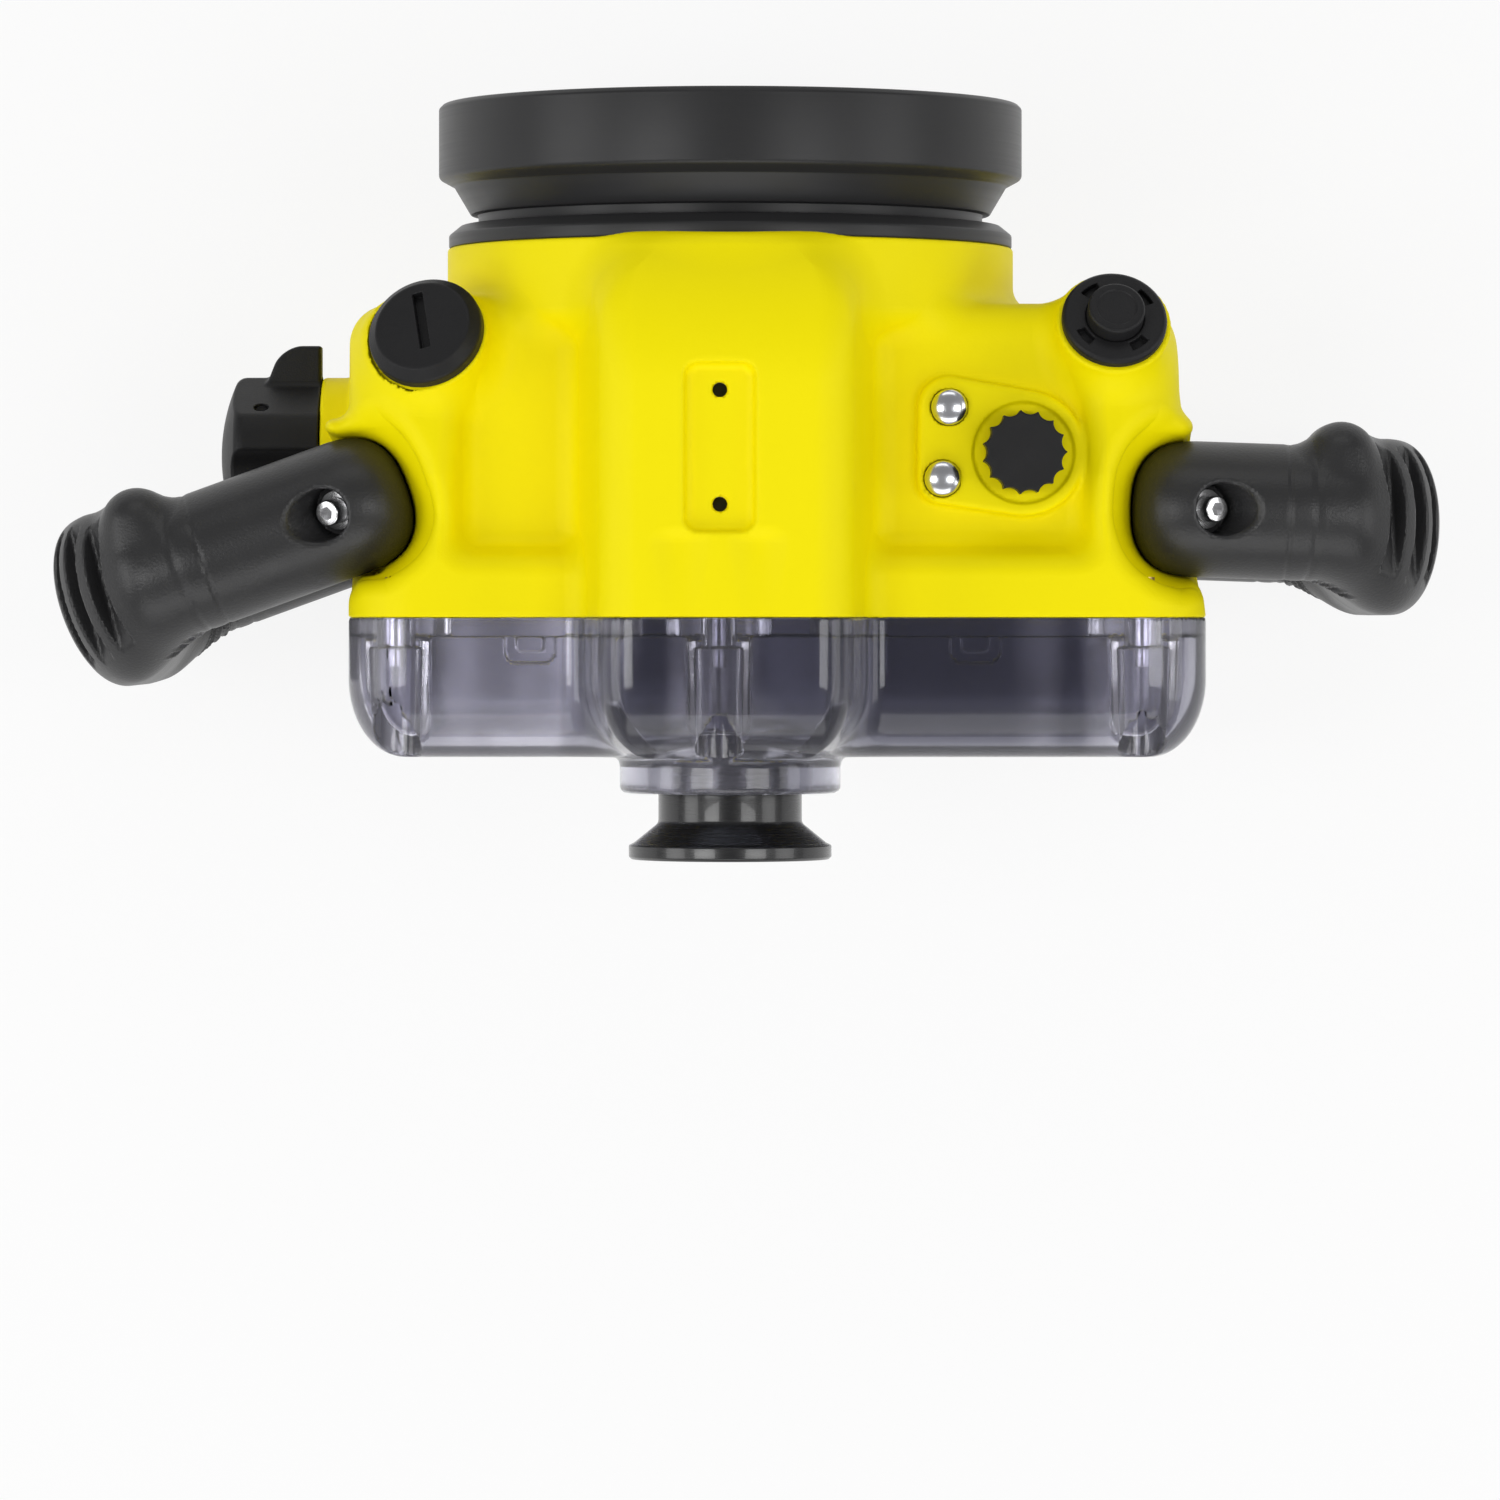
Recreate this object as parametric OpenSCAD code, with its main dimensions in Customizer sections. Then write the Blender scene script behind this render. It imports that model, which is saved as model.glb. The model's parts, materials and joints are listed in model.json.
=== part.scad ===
// Underwater housing for a single lens reflex camera.
// Millimetres. +Z is up, the lens looks along -Y, and the photographer's left hand is at +X.
// The origin is the mouth of the tripod thread in the base, straight below the lens axis.

/* [Body] */
// Lens axis to the right-hand side, at the seam
body_right = 106; // [106:1:112]
// Lens axis to the left-hand side
body_left = 85; // [85:0.5:90]
// How much the right-hand side draws in towards the front
side_taper = 8; // [4:1:9]
// Camera's base to its lens axis
camera_axis = 51; // [50:1:54]
// Tripod thread to the seam
seam_back = 27; // [25:1:29]
// Seam to the front of the shoulders
shoulder_depth = 70; // [68:1:72]
// Seam to the seat of the port
neck_depth = 84; // [82:1:86]
// Rear rim above the lens axis
rim_up = 54; // [53:1:56]
// Sunken shoulders above the lens axis
shoulder_up = 46; // [45:1:48]
// Prism hump above the lens axis
hump_up = 75; // [74:1:78]
// Width of the hump along its top
hump_w = 56; // [52:1:58]
// Width of the hump at its foot
hump_foot_w = 67; // [62:1:70]
// Offset of the hump to the photographer's left
hump_x = 0.9; // [0:0.1:2]
// Wall of the shell
wall = 5; // [4.5:0.5:5.5]
// Radius of the long edges
edge_r = 15; // [13:1:17]
// Radius of the front edge
front_r = 9; // [7:1:10]

/* [Port] */
// Radius of the bore that the lens reaches through
port_bore_r = 52; // [51:0.5:53]
// How far the neck stands outside that bore
neck_ring_w = 12.4; // [12:0.1:13]
// How far the port's front barrel stands outside the neck
rim_over = 2; // [1.5:0.1:2.5]
// Length of the front barrel
port_rim_len = 16.8; // [15:0.2:18]
// Ledge that the window sits on
window_seat = 6; // [5:0.5:6.5]
// Thickness of the window
window_t = 6; // [5:0.5:7]

/* [Cover] */
// Depth of the clear cover behind the seam
cover_depth = 31; // [30:1:34]
// Wall of the cover
cover_wall = 4.5; // [4:0.5:5]
// Rounding of the cover's rear edge, across
cover_edge = 12.5; // [11:0.5:14]
// Rounding of the cover's rear edge, along the depth
cover_edge_depth = 17.5; // [15:0.5:19]
// Eyepiece above the lens axis
eyepiece_up = 38; // [36:1:39]
// Radius of the boss that carries the eyepiece
eyepiece_boss_r = 24.6; // [24:0.2:25.4]
// Radius of the eyepiece's rim
eyepiece_rim_r = 22.6; // [22:0.2:23]

/* [Handles] */
// Radius of the arms
arm_r = 15.2; // [14.8:0.1:15.6]
// Upper arm above the lens axis
arm_up = 35; // [34:0.5:36]
// Lower arm below the lens axis
arm_down = 50; // [48:0.5:51]
// Arm end behind the tripod thread
arm_y = 2.8; // [1:0.2:4]
// Reach of the right-hand grip
right_reach = 41; // [38:0.2:42]
// Turn of the right-hand grip towards the rear
right_yaw = 2; // [0:1:4]
// Reach of the left-hand grip
left_reach = 54.2; // [50:0.5:56]
// Turn of the left-hand grip towards the rear
left_yaw = 18; // [14:1:20]
// Half width of the grip, front to back
grip_half = 21; // [20:0.5:22]
// Number of ribs down the grip
grip_ribs = 7; // [5:1:8]
// Depth of the grooves between the ribs
rib_depth = 2.2; // [1.5:0.1:2.6]

/* [Controls] */
// Radius of the zoom knob
zoom_r = 18.2; // [17:0.2:18.6]
// Length of the zoom knob
zoom_len = 22.8; // [20:0.4:24]
// Zoom knob ahead of the tripod thread
zoom_front = 9.7; // [9:0.1:12]
// Radius of the fluted knob
dial_r = 9.45; // [9:0.05:10]
// Height of the fluted knob
dial_h = 9.5; // [8:0.5:11]
// Number of flutes
dial_flutes = 15; // [12:1:18]
// Radius of the push buttons
button_r = 4; // [3.8:0.1:4.2]
// Travel of the push buttons
button_travel = 2.5; // [2:0.1:2.5]
// Radius of the shutter bezel
bezel_r = 11.7; // [11:0.1:12]
// Radius of the shutter button
shutter_r = 6.35; // [6:0.05:6.6]
// Travel of the shutter button
shutter_travel = 3; // [2.5:0.1:3]
// Lean of the shutter button towards the front
shutter_lean = 29; // [25:1:32]
// Radius of the coin-slotted plug
plug_r = 13; // [12.5:0.1:13.4]

/* [Fasteners] */
// Radius of the cover and handle screws
screw_r = 2; // [1.8:0.1:2]
// Radius of the screw heads
screw_head_r = 2.9; // [2.8:0.1:3.2]
// Minor radius of the accessory threads
shoe_thread_r = 1.65; // [1.6:0.05:1.8]
// Spacing of the accessory threads
shoe_pitch = 25; // [24:0.5:26]
// Radius of the tripod thread
tripod_r = 3.175; // [3.1:0.025:3.3]

/* [Hidden] */

// Clearances, fineness and how far a cut runs past the face that it opens
run_gap = 0.05;
seat_gap = 0.3;
slip = 0.1;
over = 1;
eps = 0.01;
fine = 64;
medium = 40;
coarse = 24;
small = 32;
corner_steps = 5;

// Radii that follow from the bore of the port
neck_r = port_bore_r + neck_ring_w;
port_r = neck_r + rim_over;
window_r = port_bore_r + window_seat;

// Camera tray, its posts and its screws
tray_t = 4;
tray_size = [102, 52];
tray_corner = [-58, -32];
tray_y = -6;
tray_inset = 8;
tray_hole_at = 26;
tray_hole_r = 8;
tray_post_r = 6;
tray_screw_r = 1.45;
tray_screw_len = 11;
tray_head_r = 2.8;
tray_head_t = 1.6;
tripod_boss_r = 9;
tripod_insert_r = tripod_r + 3.5;
camera_head_r = 7;
camera_head_t = 5;
under_tray = 12;
neck_clear = 7.5;

// Heights and depths that follow from the sizes above
lens_h = max(wall + under_tray + tray_t + camera_axis, neck_r + neck_clear);
tray_top = lens_h - camera_axis;
rim_z = lens_h + rim_up;
shoulder_z = lens_h + shoulder_up;
hump_z = lens_h + hump_up;
seam_y = seam_back;
front_y = seam_y - shoulder_depth;
seat_y = seam_y - neck_depth;
front_fall = 6.5;
tray_post_at = [
    for (x = [tray_inset, tray_size[0] - tray_inset], y = [tray_inset, tray_size[1] - tray_inset])
        [tray_corner[0] + x, tray_corner[1] + y]
];

// Flange, seal and cover screws
flange_w = 10.2;
flange_t = 7;
cover_flange_t = 4;
seal_out = 5.4;
seal_w = 2.4;
seal_depth = 2.2;
screw_in = 7.2;
post_r = 6.2;
detour_out = 7.4;
detour_flange = 12;
screw_x = [body_left - 11.5, hump_x + 1.5, -body_right + 14.8];
cover_screw_top = [rim_z - screw_in, hump_z - screw_in, rim_z - screw_in];
cover_screw_at = [
    for (i = [0:2]) each [[screw_x[i], cover_screw_top[i]], [screw_x[i], screw_in]]
];
insert_r = 3;
insert_len = 9;
boss_t = 6.5;
sleeve_r = 3.8;
well_r = 5.6;
well_mouth_r = 4.8;
well_wall = 1.4;
screw_head_len = 4.5;
screw_tip = 7.5;
socket_r = 1.6;
socket_depth = 2.2;

// Lugs inside the cover
lug_x = [44.3, -54.3];
lug_w = 11;
lug_len = 10;
lug_wall = 2.4;
lug_t = 3;

// Pockets in the shoulders
pocket_slope = 5;
pocket_back = 17;
pocket_rear = seam_y - pocket_back;
pocket_right = [-body_right + 24, hump_x - hump_foot_w / 2];
pocket_left = [hump_x + hump_foot_w / 2, body_left - 22];
pocket_reach = 30;

// Hump, the recess on it and the valleys behind the recess
hump_edge_r = 7;
hump_front = 1.5;
hump_nose = 5;
hump_drop = 2;
shoe_x = hump_x + 1.3;
shoe_y = -10.3;
shoe_w = 14.6;
shoe_l = 36;
shoe_depth = 3;
shoe_corner = 2;
shoe_insert_r = 2.6;
shoe_insert_len = 4.6;
hump_roof = 9.5;
valley_x = 8.5;
valley_r = 6.5;
valley_up = 5;
valley_len = 18;

// Raised plate for the buttons and the fluted knob
mound_h = 3.5;
mound_edge = 1.2;
mound_z = shoulder_z + mound_h;
mound_t = 8.5;
button_front_at = [-48.5, -19.6];
button_rear_at = [-47, -3.8];
dial_at = [-65, -9.5];
button_land = 7;
button_rear_land = 5.7;
dial_land = 14;
dial_seat_r = 11.1;
dial_seat_depth = 0.8;

// Bushes, clips and shafts of the controls
bush_flange = 1.5;
bush_flange_t = 1.5;
clip_t = 0.8;
clip_gap = 0.1;
clip_w = 1.7;
dial_gland_r = 6.5;
dial_shaft_r = 3;
dial_shaft_in = 8;
wheel_r = 7;
wheel_t = 3.5;
button_lift = 0.6;
button_edge = 0.9;
button_dome = 1.9;
flute_r = 2.6;

// Ends of the handles
right_end = [-(body_right - 1.1), arm_y, lens_h + arm_up];
left_end = [body_left + 1.5, arm_y, lens_h + arm_up];
arm_drop = arm_up + arm_down;
lip = 4.3;
saddle_out = 1;
bend_r = 20;
rib_span = arm_drop - 2 * bend_r + 24;
grip_thin = 0.6;
grip_blend = 22;
grip_lead = 6;
handle_screw_lean = 33;
handle_screw_out = 5.8;
handle_bore_r = 5.7;
handle_bore_depth = 9.5;
handle_screw_reach = 28;
handle_insert_r = 3.5;
handle_insert_below = 1.6;
handle_insert_from = 2 * arm_r + handle_insert_below;
handle_insert_len = 7;
handle_boss_r = 6;
handle_head_len = 4;
washer_r = 4.6;
washer_t = 0.8;

// Shutter button, on its own leaning boss
shutter_in = [21, 4.6, 3];
shutter_at = [shutter_in[0] - body_right, front_y + shutter_in[1], shoulder_z + shutter_in[2]];
shutter_side = -4;
bezel_t = 2.6;
bezel_edge = 0.8;
bezel_land = 1.2;
barrel_r = 8.5;
barrel_len = 14;
shutter_stem_r = screw_r + 0.5;
shutter_well = 3 * shutter_travel;
shutter_up = 4;
shutter_edge = 1.2;
shutter_dish = 0.3;
notch_in = 0.9;
notch_w = 1.8;
notch_depth = 1;
notch_angle = 32;

// Coin-slotted plug, on its own leaning boss
boss_len = 26;
plug_in = [18.1, 7.6, 2];
plug_at = [body_left - plug_in[0], front_y + plug_in[1], shoulder_z + plug_in[2]];
plug_lean = [26, 16];
plug_t = 5;
plug_edge = 2.4;
plug_land = 0.6;
plug_shank_r = 9;
plug_shank = 9;
plug_groove = 1.4;
plug_groove_at = 4;
plug_groove_w = 2;
slot_w = 2;
slot_len = 12.4;
slot_depth = 1.6;

// Zoom control on the left-hand side
zoom_boss_r = 18;
zoom_boss_out = 7.8;
zoom_boss_end = body_left + zoom_boss_out;
zoom_at = [zoom_boss_end + seat_gap, -zoom_front, lens_h];
zoom_shaft_r = 4;
zoom_gland_r = 9;
zoom_under = zoom_boss_end - body_left + wall;
zoom_in = 25;
zoom_dome = 4.2;
zoom_flat_half = 30;
zoom_groove_half = 16;
zoom_groove_turn = 48;
zoom_groove_r = 8;
fin_t = 7;
fin_out = 7;
fin_len = 11.8;
fin_crest = 5.4;
set_screw_r = 1.6;
set_screw_depth = 3;
set_screw_at = 13.1;
set_screw_lean = 41;
gear_teeth = 24;
gear_r = 12;
tooth = 1.2;
gear_t = 6;

// Port, measured forwards from the seam
ring_t = 3;
ring_nose = 2.1;
ring_lap = 4.6;
ring_edge = 3;
ring_bore_r = port_bore_r + ring_lap;
ring_wall = 5;
ring_spigot_r = neck_r - ring_wall;
ring_spigot = 9;
neck_edge = 0.6;
neck_root = 12;
flare_r = 5;
lens_slack = 3.5;
port_in = 4;
port_start = neck_depth - port_in;
port_len = 32.7;
port_front = neck_depth + port_len;
port_rim_start = port_front - port_rim_len;
port_gap = neck_depth + ring_t + ring_nose + run_gap;
port_groove = [2, 2.6, 1.5];
port_waist = 2.5;
port_waist_w = 0.8;
port_step_w = 1.7;
port_shoulder_w = 3.5;
port_shoulder = 1.9;
port_edge = 1;
port_lip = 5;
window_front = port_front - 6.7;
retainer_t = 3;
retainer_in = 3;
retainer_edge = 1;
cord_r = 0.76;

// Eyepiece, measured backwards from the end of its boss
eyepiece_boss = 8;
boss_edge = 1.5;
eye_bore_r = 13;
eye_in = 9;
eye_wall = 2.5;
eye_groove = [3, 2, 1.4];
eye_neck_r = 16;
eye_neck = 6.7;
eye_cone = 4.4;
eye_rim = [0.6, 3.1];
eye_cup_r = 17.5;
eye_lens_r = 12.5;
eye_lens_t = 3;
eye_ledge = 5.6;

// Points of an arc in a plane
function arc(cx, cy, r, a0, a1, n) =
    [for (i = [0:n]) let (a = a0 + (a1 - a0) * i / n) [cx + r * cos(a), cy + r * sin(a)]];

// Outline of the box-shaped body in X and Z, drawn in by d all round
function body_outline(d, right = body_right, top = rim_z) =
    let (r = max(edge_r - d, shoe_corner))
    concat(
        arc(body_left - d - r, d + r, r, -90, 0, corner_steps),
        arc(body_left - d - r, top - d - r, r, 0, 90, corner_steps),
        arc(-right + d + r, top - d - r, r, 90, 180, corner_steps),
        arc(-right + d + r, d + r, r, 180, 270, corner_steps)
    );

// Outline of the hump in X and Z, drawn in by d all round
function hump_outline(d, top = hump_z, narrow = 0) =
    let (
        half = hump_w / 2 - d - narrow,
        foot = hump_foot_w / 2 - d - narrow,
        root = foot + (foot - half) * 0.6,
        r = max(hump_edge_r - d, shoe_corner),
        low = shoulder_z - 2 * edge_r
    )
    concat(
        [[hump_x + root, low]],
        arc(hump_x + half - r, top - d - r, r, 12, 90, corner_steps),
        arc(hump_x - half + r, top - d - r, r, 90, 168, corner_steps),
        [[hump_x - root, low]]
    );

// An X and Z outline set at depth y
function at_depth(pts, y) = [for (p = pts) [p[0], y, p[1]]];

// Solid through a row of rings; turned is true where the rings run the other way round
module loft(rings, turned = false) {
    n = len(rings[0]);
    m = len(rings);
    sides = [
        for (j = [0:m - 2], i = [0:n - 1])
            let (a = j * n + i, b = j * n + (i + 1) % n)
            each turned ? [[a, b + n, b], [a, a + n, b + n]] : [[a, b, b + n], [a, b + n, a + n]]
    ];
    first = [for (i = [0:n - 1]) i];
    last = [for (i = [0:n - 1]) (m - 1) * n + i];
    back = [for (i = [n - 1:-1:0]) i];
    caps = turned ? [first, [for (i = back) last[i]]] : [back, last];
    polyhedron(points = [for (r = rings) each r], faces = concat(sides, caps), convexity = 10);
}

// Extrusion of an X and Z drawing from depth y0 back to depth y1
module between(y0, y1) {
    translate([0, y1, 0]) rotate([90, 0, 0]) linear_extrude(y1 - y0) children();
}

// A turned piece about the lens axis, its profile given as radius and distance ahead of the seam
module turned_forward(profile, n = 2 * fine) {
    translate([0, seam_y, lens_h]) rotate([90, 0, 0]) rotate_extrude($fn = n) polygon(profile);
}

// A turned piece about the eyepiece axis, its profile given as radius and distance behind the seam
module turned_back(profile) {
    translate([0, seam_y, lens_h + eyepiece_up]) rotate([-90, 0, 0])
        rotate_extrude($fn = fine) polygon(profile);
}

// Frame of the shutter button, its local +Z pointing out of the shell
module at_shutter() {
    translate(shutter_at) rotate([shutter_lean, shutter_side, 0]) children();
}

// Frame of the coin-slotted plug
module at_plug() {
    translate(plug_at) rotate([plug_lean[0], plug_lean[1], 0]) children();
}

// Frame of the zoom knob, its local +Z pointing out to the left
module at_zoom() {
    translate(zoom_at) rotate([0, 90, 0]) children();
}

// Frames of the fluted knob and the push buttons, on top of the raised plate
module at_dial() {
    translate([dial_at[0], dial_at[1], mound_z + seat_gap]) children();
}

module at_front_button() {
    translate([button_front_at[0], button_front_at[1], mound_z]) children();
}

module at_rear_button() {
    translate([button_rear_at[0], button_rear_at[1], mound_z]) children();
}

// Frame of a handle, its local +X pointing from the arm's end to the grip
module at_right_handle() {
    translate(right_end) rotate([0, 0, 180 - right_yaw]) children();
}

module at_left_handle() {
    translate(left_end) rotate([0, 0, left_yaw]) children();
}

// Both arm ends of a handle, the lower one a mirror image of the upper one
module at_both_arms() {
    children();
    translate([0, 0, -arm_drop]) mirror([0, 0, 1]) children();
}

// Axis of a handle screw, its local -Z running from the arm's top into the shell
module at_handle_screw() {
    translate([handle_screw_out, 0, arm_r]) rotate([0, handle_screw_lean, 0]) children();
}

// Axes of the cover screws, their local +Z running back from the seam
module at_cover_screws() {
    for (p = cover_screw_at) translate([p[0], seam_y, p[1]]) rotate([-90, 0, 0]) children();
}

module at_tray_posts() {
    for (p = tray_post_at) translate([p[0], p[1], 0]) children();
}

module at_shoe_inserts() {
    for (s = [-1, 1])
        translate([shoe_x, shoe_y + s * shoe_pitch / 2, hump_z - shoe_depth - shoe_insert_len])
            children();
}

module ring(r_out, r_in, h) {
    difference() {
        cylinder(r = r_out, h = h, $fn = fine);
        translate([0, 0, -over]) cylinder(r = r_in, h = h + 2 * over, $fn = fine);
    }
}

module o_ring(r_mid, r_cord) {
    rotate_extrude($fn = fine) translate([r_mid, 0]) circle(r = r_cord, $fn = 20);
}

// Screw with its head's underside at the origin and its tip at -length
module socket_screw(r_head, head_len, r, length) {
    difference() {
        cylinder(r = r_head, h = head_len, $fn = medium);
        translate([0, 0, head_len - socket_depth]) cylinder(r = socket_r, h = head_len, $fn = 6);
    }
    translate([0, 0, -length]) cylinder(r = r, h = length, $fn = small);
}

// Outline of the seam, with the hump
module seam_outline(d) {
    polygon(body_outline(d));
    polygon(hump_outline(d));
}

// Seam outline that steps in round the cover screws
module stepped_outline(d, r) {
    difference() {
        seam_outline(d);
        for (p = cover_screw_at) translate(p) circle(r = r, $fn = coarse);
    }
}

// Outside of the box-shaped body, its front edge rounded and its top falling towards the front
module body_block() {
    level_y = arm_y - arm_r / 2;
    function right_at(y) = body_right - side_taper * (seam_y - y) / shoulder_depth;
    function top_at(y) = rim_z - front_fall * max(0, level_y - y) / (level_y - front_y);
    loft(concat(
        [
            for (a = [90:-18:0])
                let (y = front_y + front_r * (1 - sin(a)), d = front_r * (1 - cos(a)))
                at_depth(body_outline(d, right_at(y), top_at(y)), y)
        ],
        [for (y = [level_y, seam_y]) at_depth(body_outline(0, right_at(y)), y)]
    ));
}

// Sunken shoulder, its rear and outer walls leaning back
module pocket(x) {
    hull() {
        translate([x[0] + pocket_slope, front_y - pocket_reach, shoulder_z])
            cube([x[1] - x[0] - pocket_slope, pocket_rear - front_y + pocket_reach, eps]);
        translate([x[0], front_y - pocket_reach, rim_z + over])
            cube([x[1] - x[0], pocket_rear + pocket_slope - front_y + pocket_reach, eps]);
    }
}

module pockets() {
    pocket(pocket_right);
    mirror([1, 0, 0]) pocket([-pocket_left[1], -pocket_left[0]]);
}

// Prism hump, sloping down at the front to the top of the neck
module hump() {
    slope_y = front_y + hump_front;
    loft([
        at_depth(hump_outline(0, lens_h + neck_r - over, hump_w / 4), seat_y + over),
        at_depth(hump_outline(0, hump_z - hump_drop, over), slope_y),
        at_depth(hump_outline(0), slope_y + hump_nose),
        at_depth(hump_outline(0), seam_y)
    ]);
}

module mound_outline(grow) {
    hull() {
        translate(button_front_at) circle(r = button_land + grow, $fn = medium);
        translate(button_rear_at) circle(r = button_rear_land + grow, $fn = medium);
        translate(dial_at) circle(r = dial_land + grow, $fn = medium);
    }
}

// Raised plate with a soft edge
module mound() {
    hull() {
        translate([0, 0, shoulder_z - over]) linear_extrude(mound_h + over - mound_edge) mound_outline(0);
        translate([0, 0, shoulder_z]) linear_extrude(mound_h) mound_outline(-mound_edge);
    }
}

// Leaning boss under the shutter button or the plug
module corner_boss(r) {
    hull() {
        translate([0, 0, -over]) cylinder(r = r - over, h = over, $fn = medium);
        translate([0, 0, -2 * over]) cylinder(r = r, h = over, $fn = medium);
        translate([0, 0, -boss_len]) cylinder(r = r + over, h = over, $fn = medium);
    }
}

// Raised lip round an arm's end, cut off level with the side of the body
module saddle(n) {
    reach = arm_r + lip;
    at_both_arms() intersection() {
        sphere(r = reach, $fn = n);
        translate([-2 * reach, -reach, -reach]) cube([2 * reach + saddle_out, 2 * reach, 2 * reach]);
    }
}

// Room for an arm's end, open outwards and away from the other arm
module cup() {
    n = 16;
    r = (arm_r + seat_gap) / pow(cos(180 / n), 2);
    at_both_arms() hull() {
        for (x = [0, 3 * arm_r], z = [0, 2 * arm_r]) translate([x, 0, z]) sphere(r = r, $fn = n);
    }
}

// Material behind a cup for the handle screw's insert, and the bore for it
module screw_boss() {
    at_both_arms() at_handle_screw()
        translate([0, 0, -handle_insert_from - handle_insert_len - insert_r + over])
            cylinder(r = handle_boss_r, h = handle_insert_len + insert_r + over, $fn = coarse);
}

module screw_boss_bore() {
    at_both_arms() at_handle_screw()
        translate([0, 0, -handle_insert_from - handle_insert_len - slip])
            cylinder(r = handle_insert_r + slip, h = handle_insert_len + lip + wall, $fn = coarse);
}

// Height of what stands on the floor under the camera screw
function tray_boss_top() = tray_top - tray_t - camera_head_t;

module tray_posts() {
    at_tray_posts() cylinder(r = tray_post_r, h = tray_top - tray_t, $fn = coarse);
    cylinder(r = tripod_boss_r, h = tray_boss_top(), $fn = coarse);
}

// Room inside the shell, with the bosses left standing
module cavity() {
    front = front_y + wall;
    rear = seam_y - flange_t;
    side = body_right - side_taper;
    difference() {
        union() {
            loft([
                at_depth(body_outline(2 * wall - over, side, shoulder_z), front),
                at_depth(body_outline(wall, side + over, shoulder_z), front + wall),
                at_depth(body_outline(wall, body_right - over, shoulder_z), rear)
            ]);
            loft([
                for (y = [front + edge_r - port_in, rear])
                    at_depth(hump_outline(wall, hump_z - hump_roof + wall), y)
            ]);
            between(rear - over, seam_y + over) stepped_outline(flange_w, detour_flange);
        }
        at_right_handle() saddle(coarse / 2);
        at_left_handle() saddle(coarse / 2);
        at_right_handle() screw_boss();
        at_left_handle() screw_boss();
        at_cover_screws() translate([0, 0, -insert_len - wall])
            cylinder(r = post_r, h = insert_len + wall, $fn = coarse);
        tray_posts();
        translate([0, 0, mound_z - mound_t]) linear_extrude(2 * mound_t) mound_outline(0);
    }
}

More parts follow.
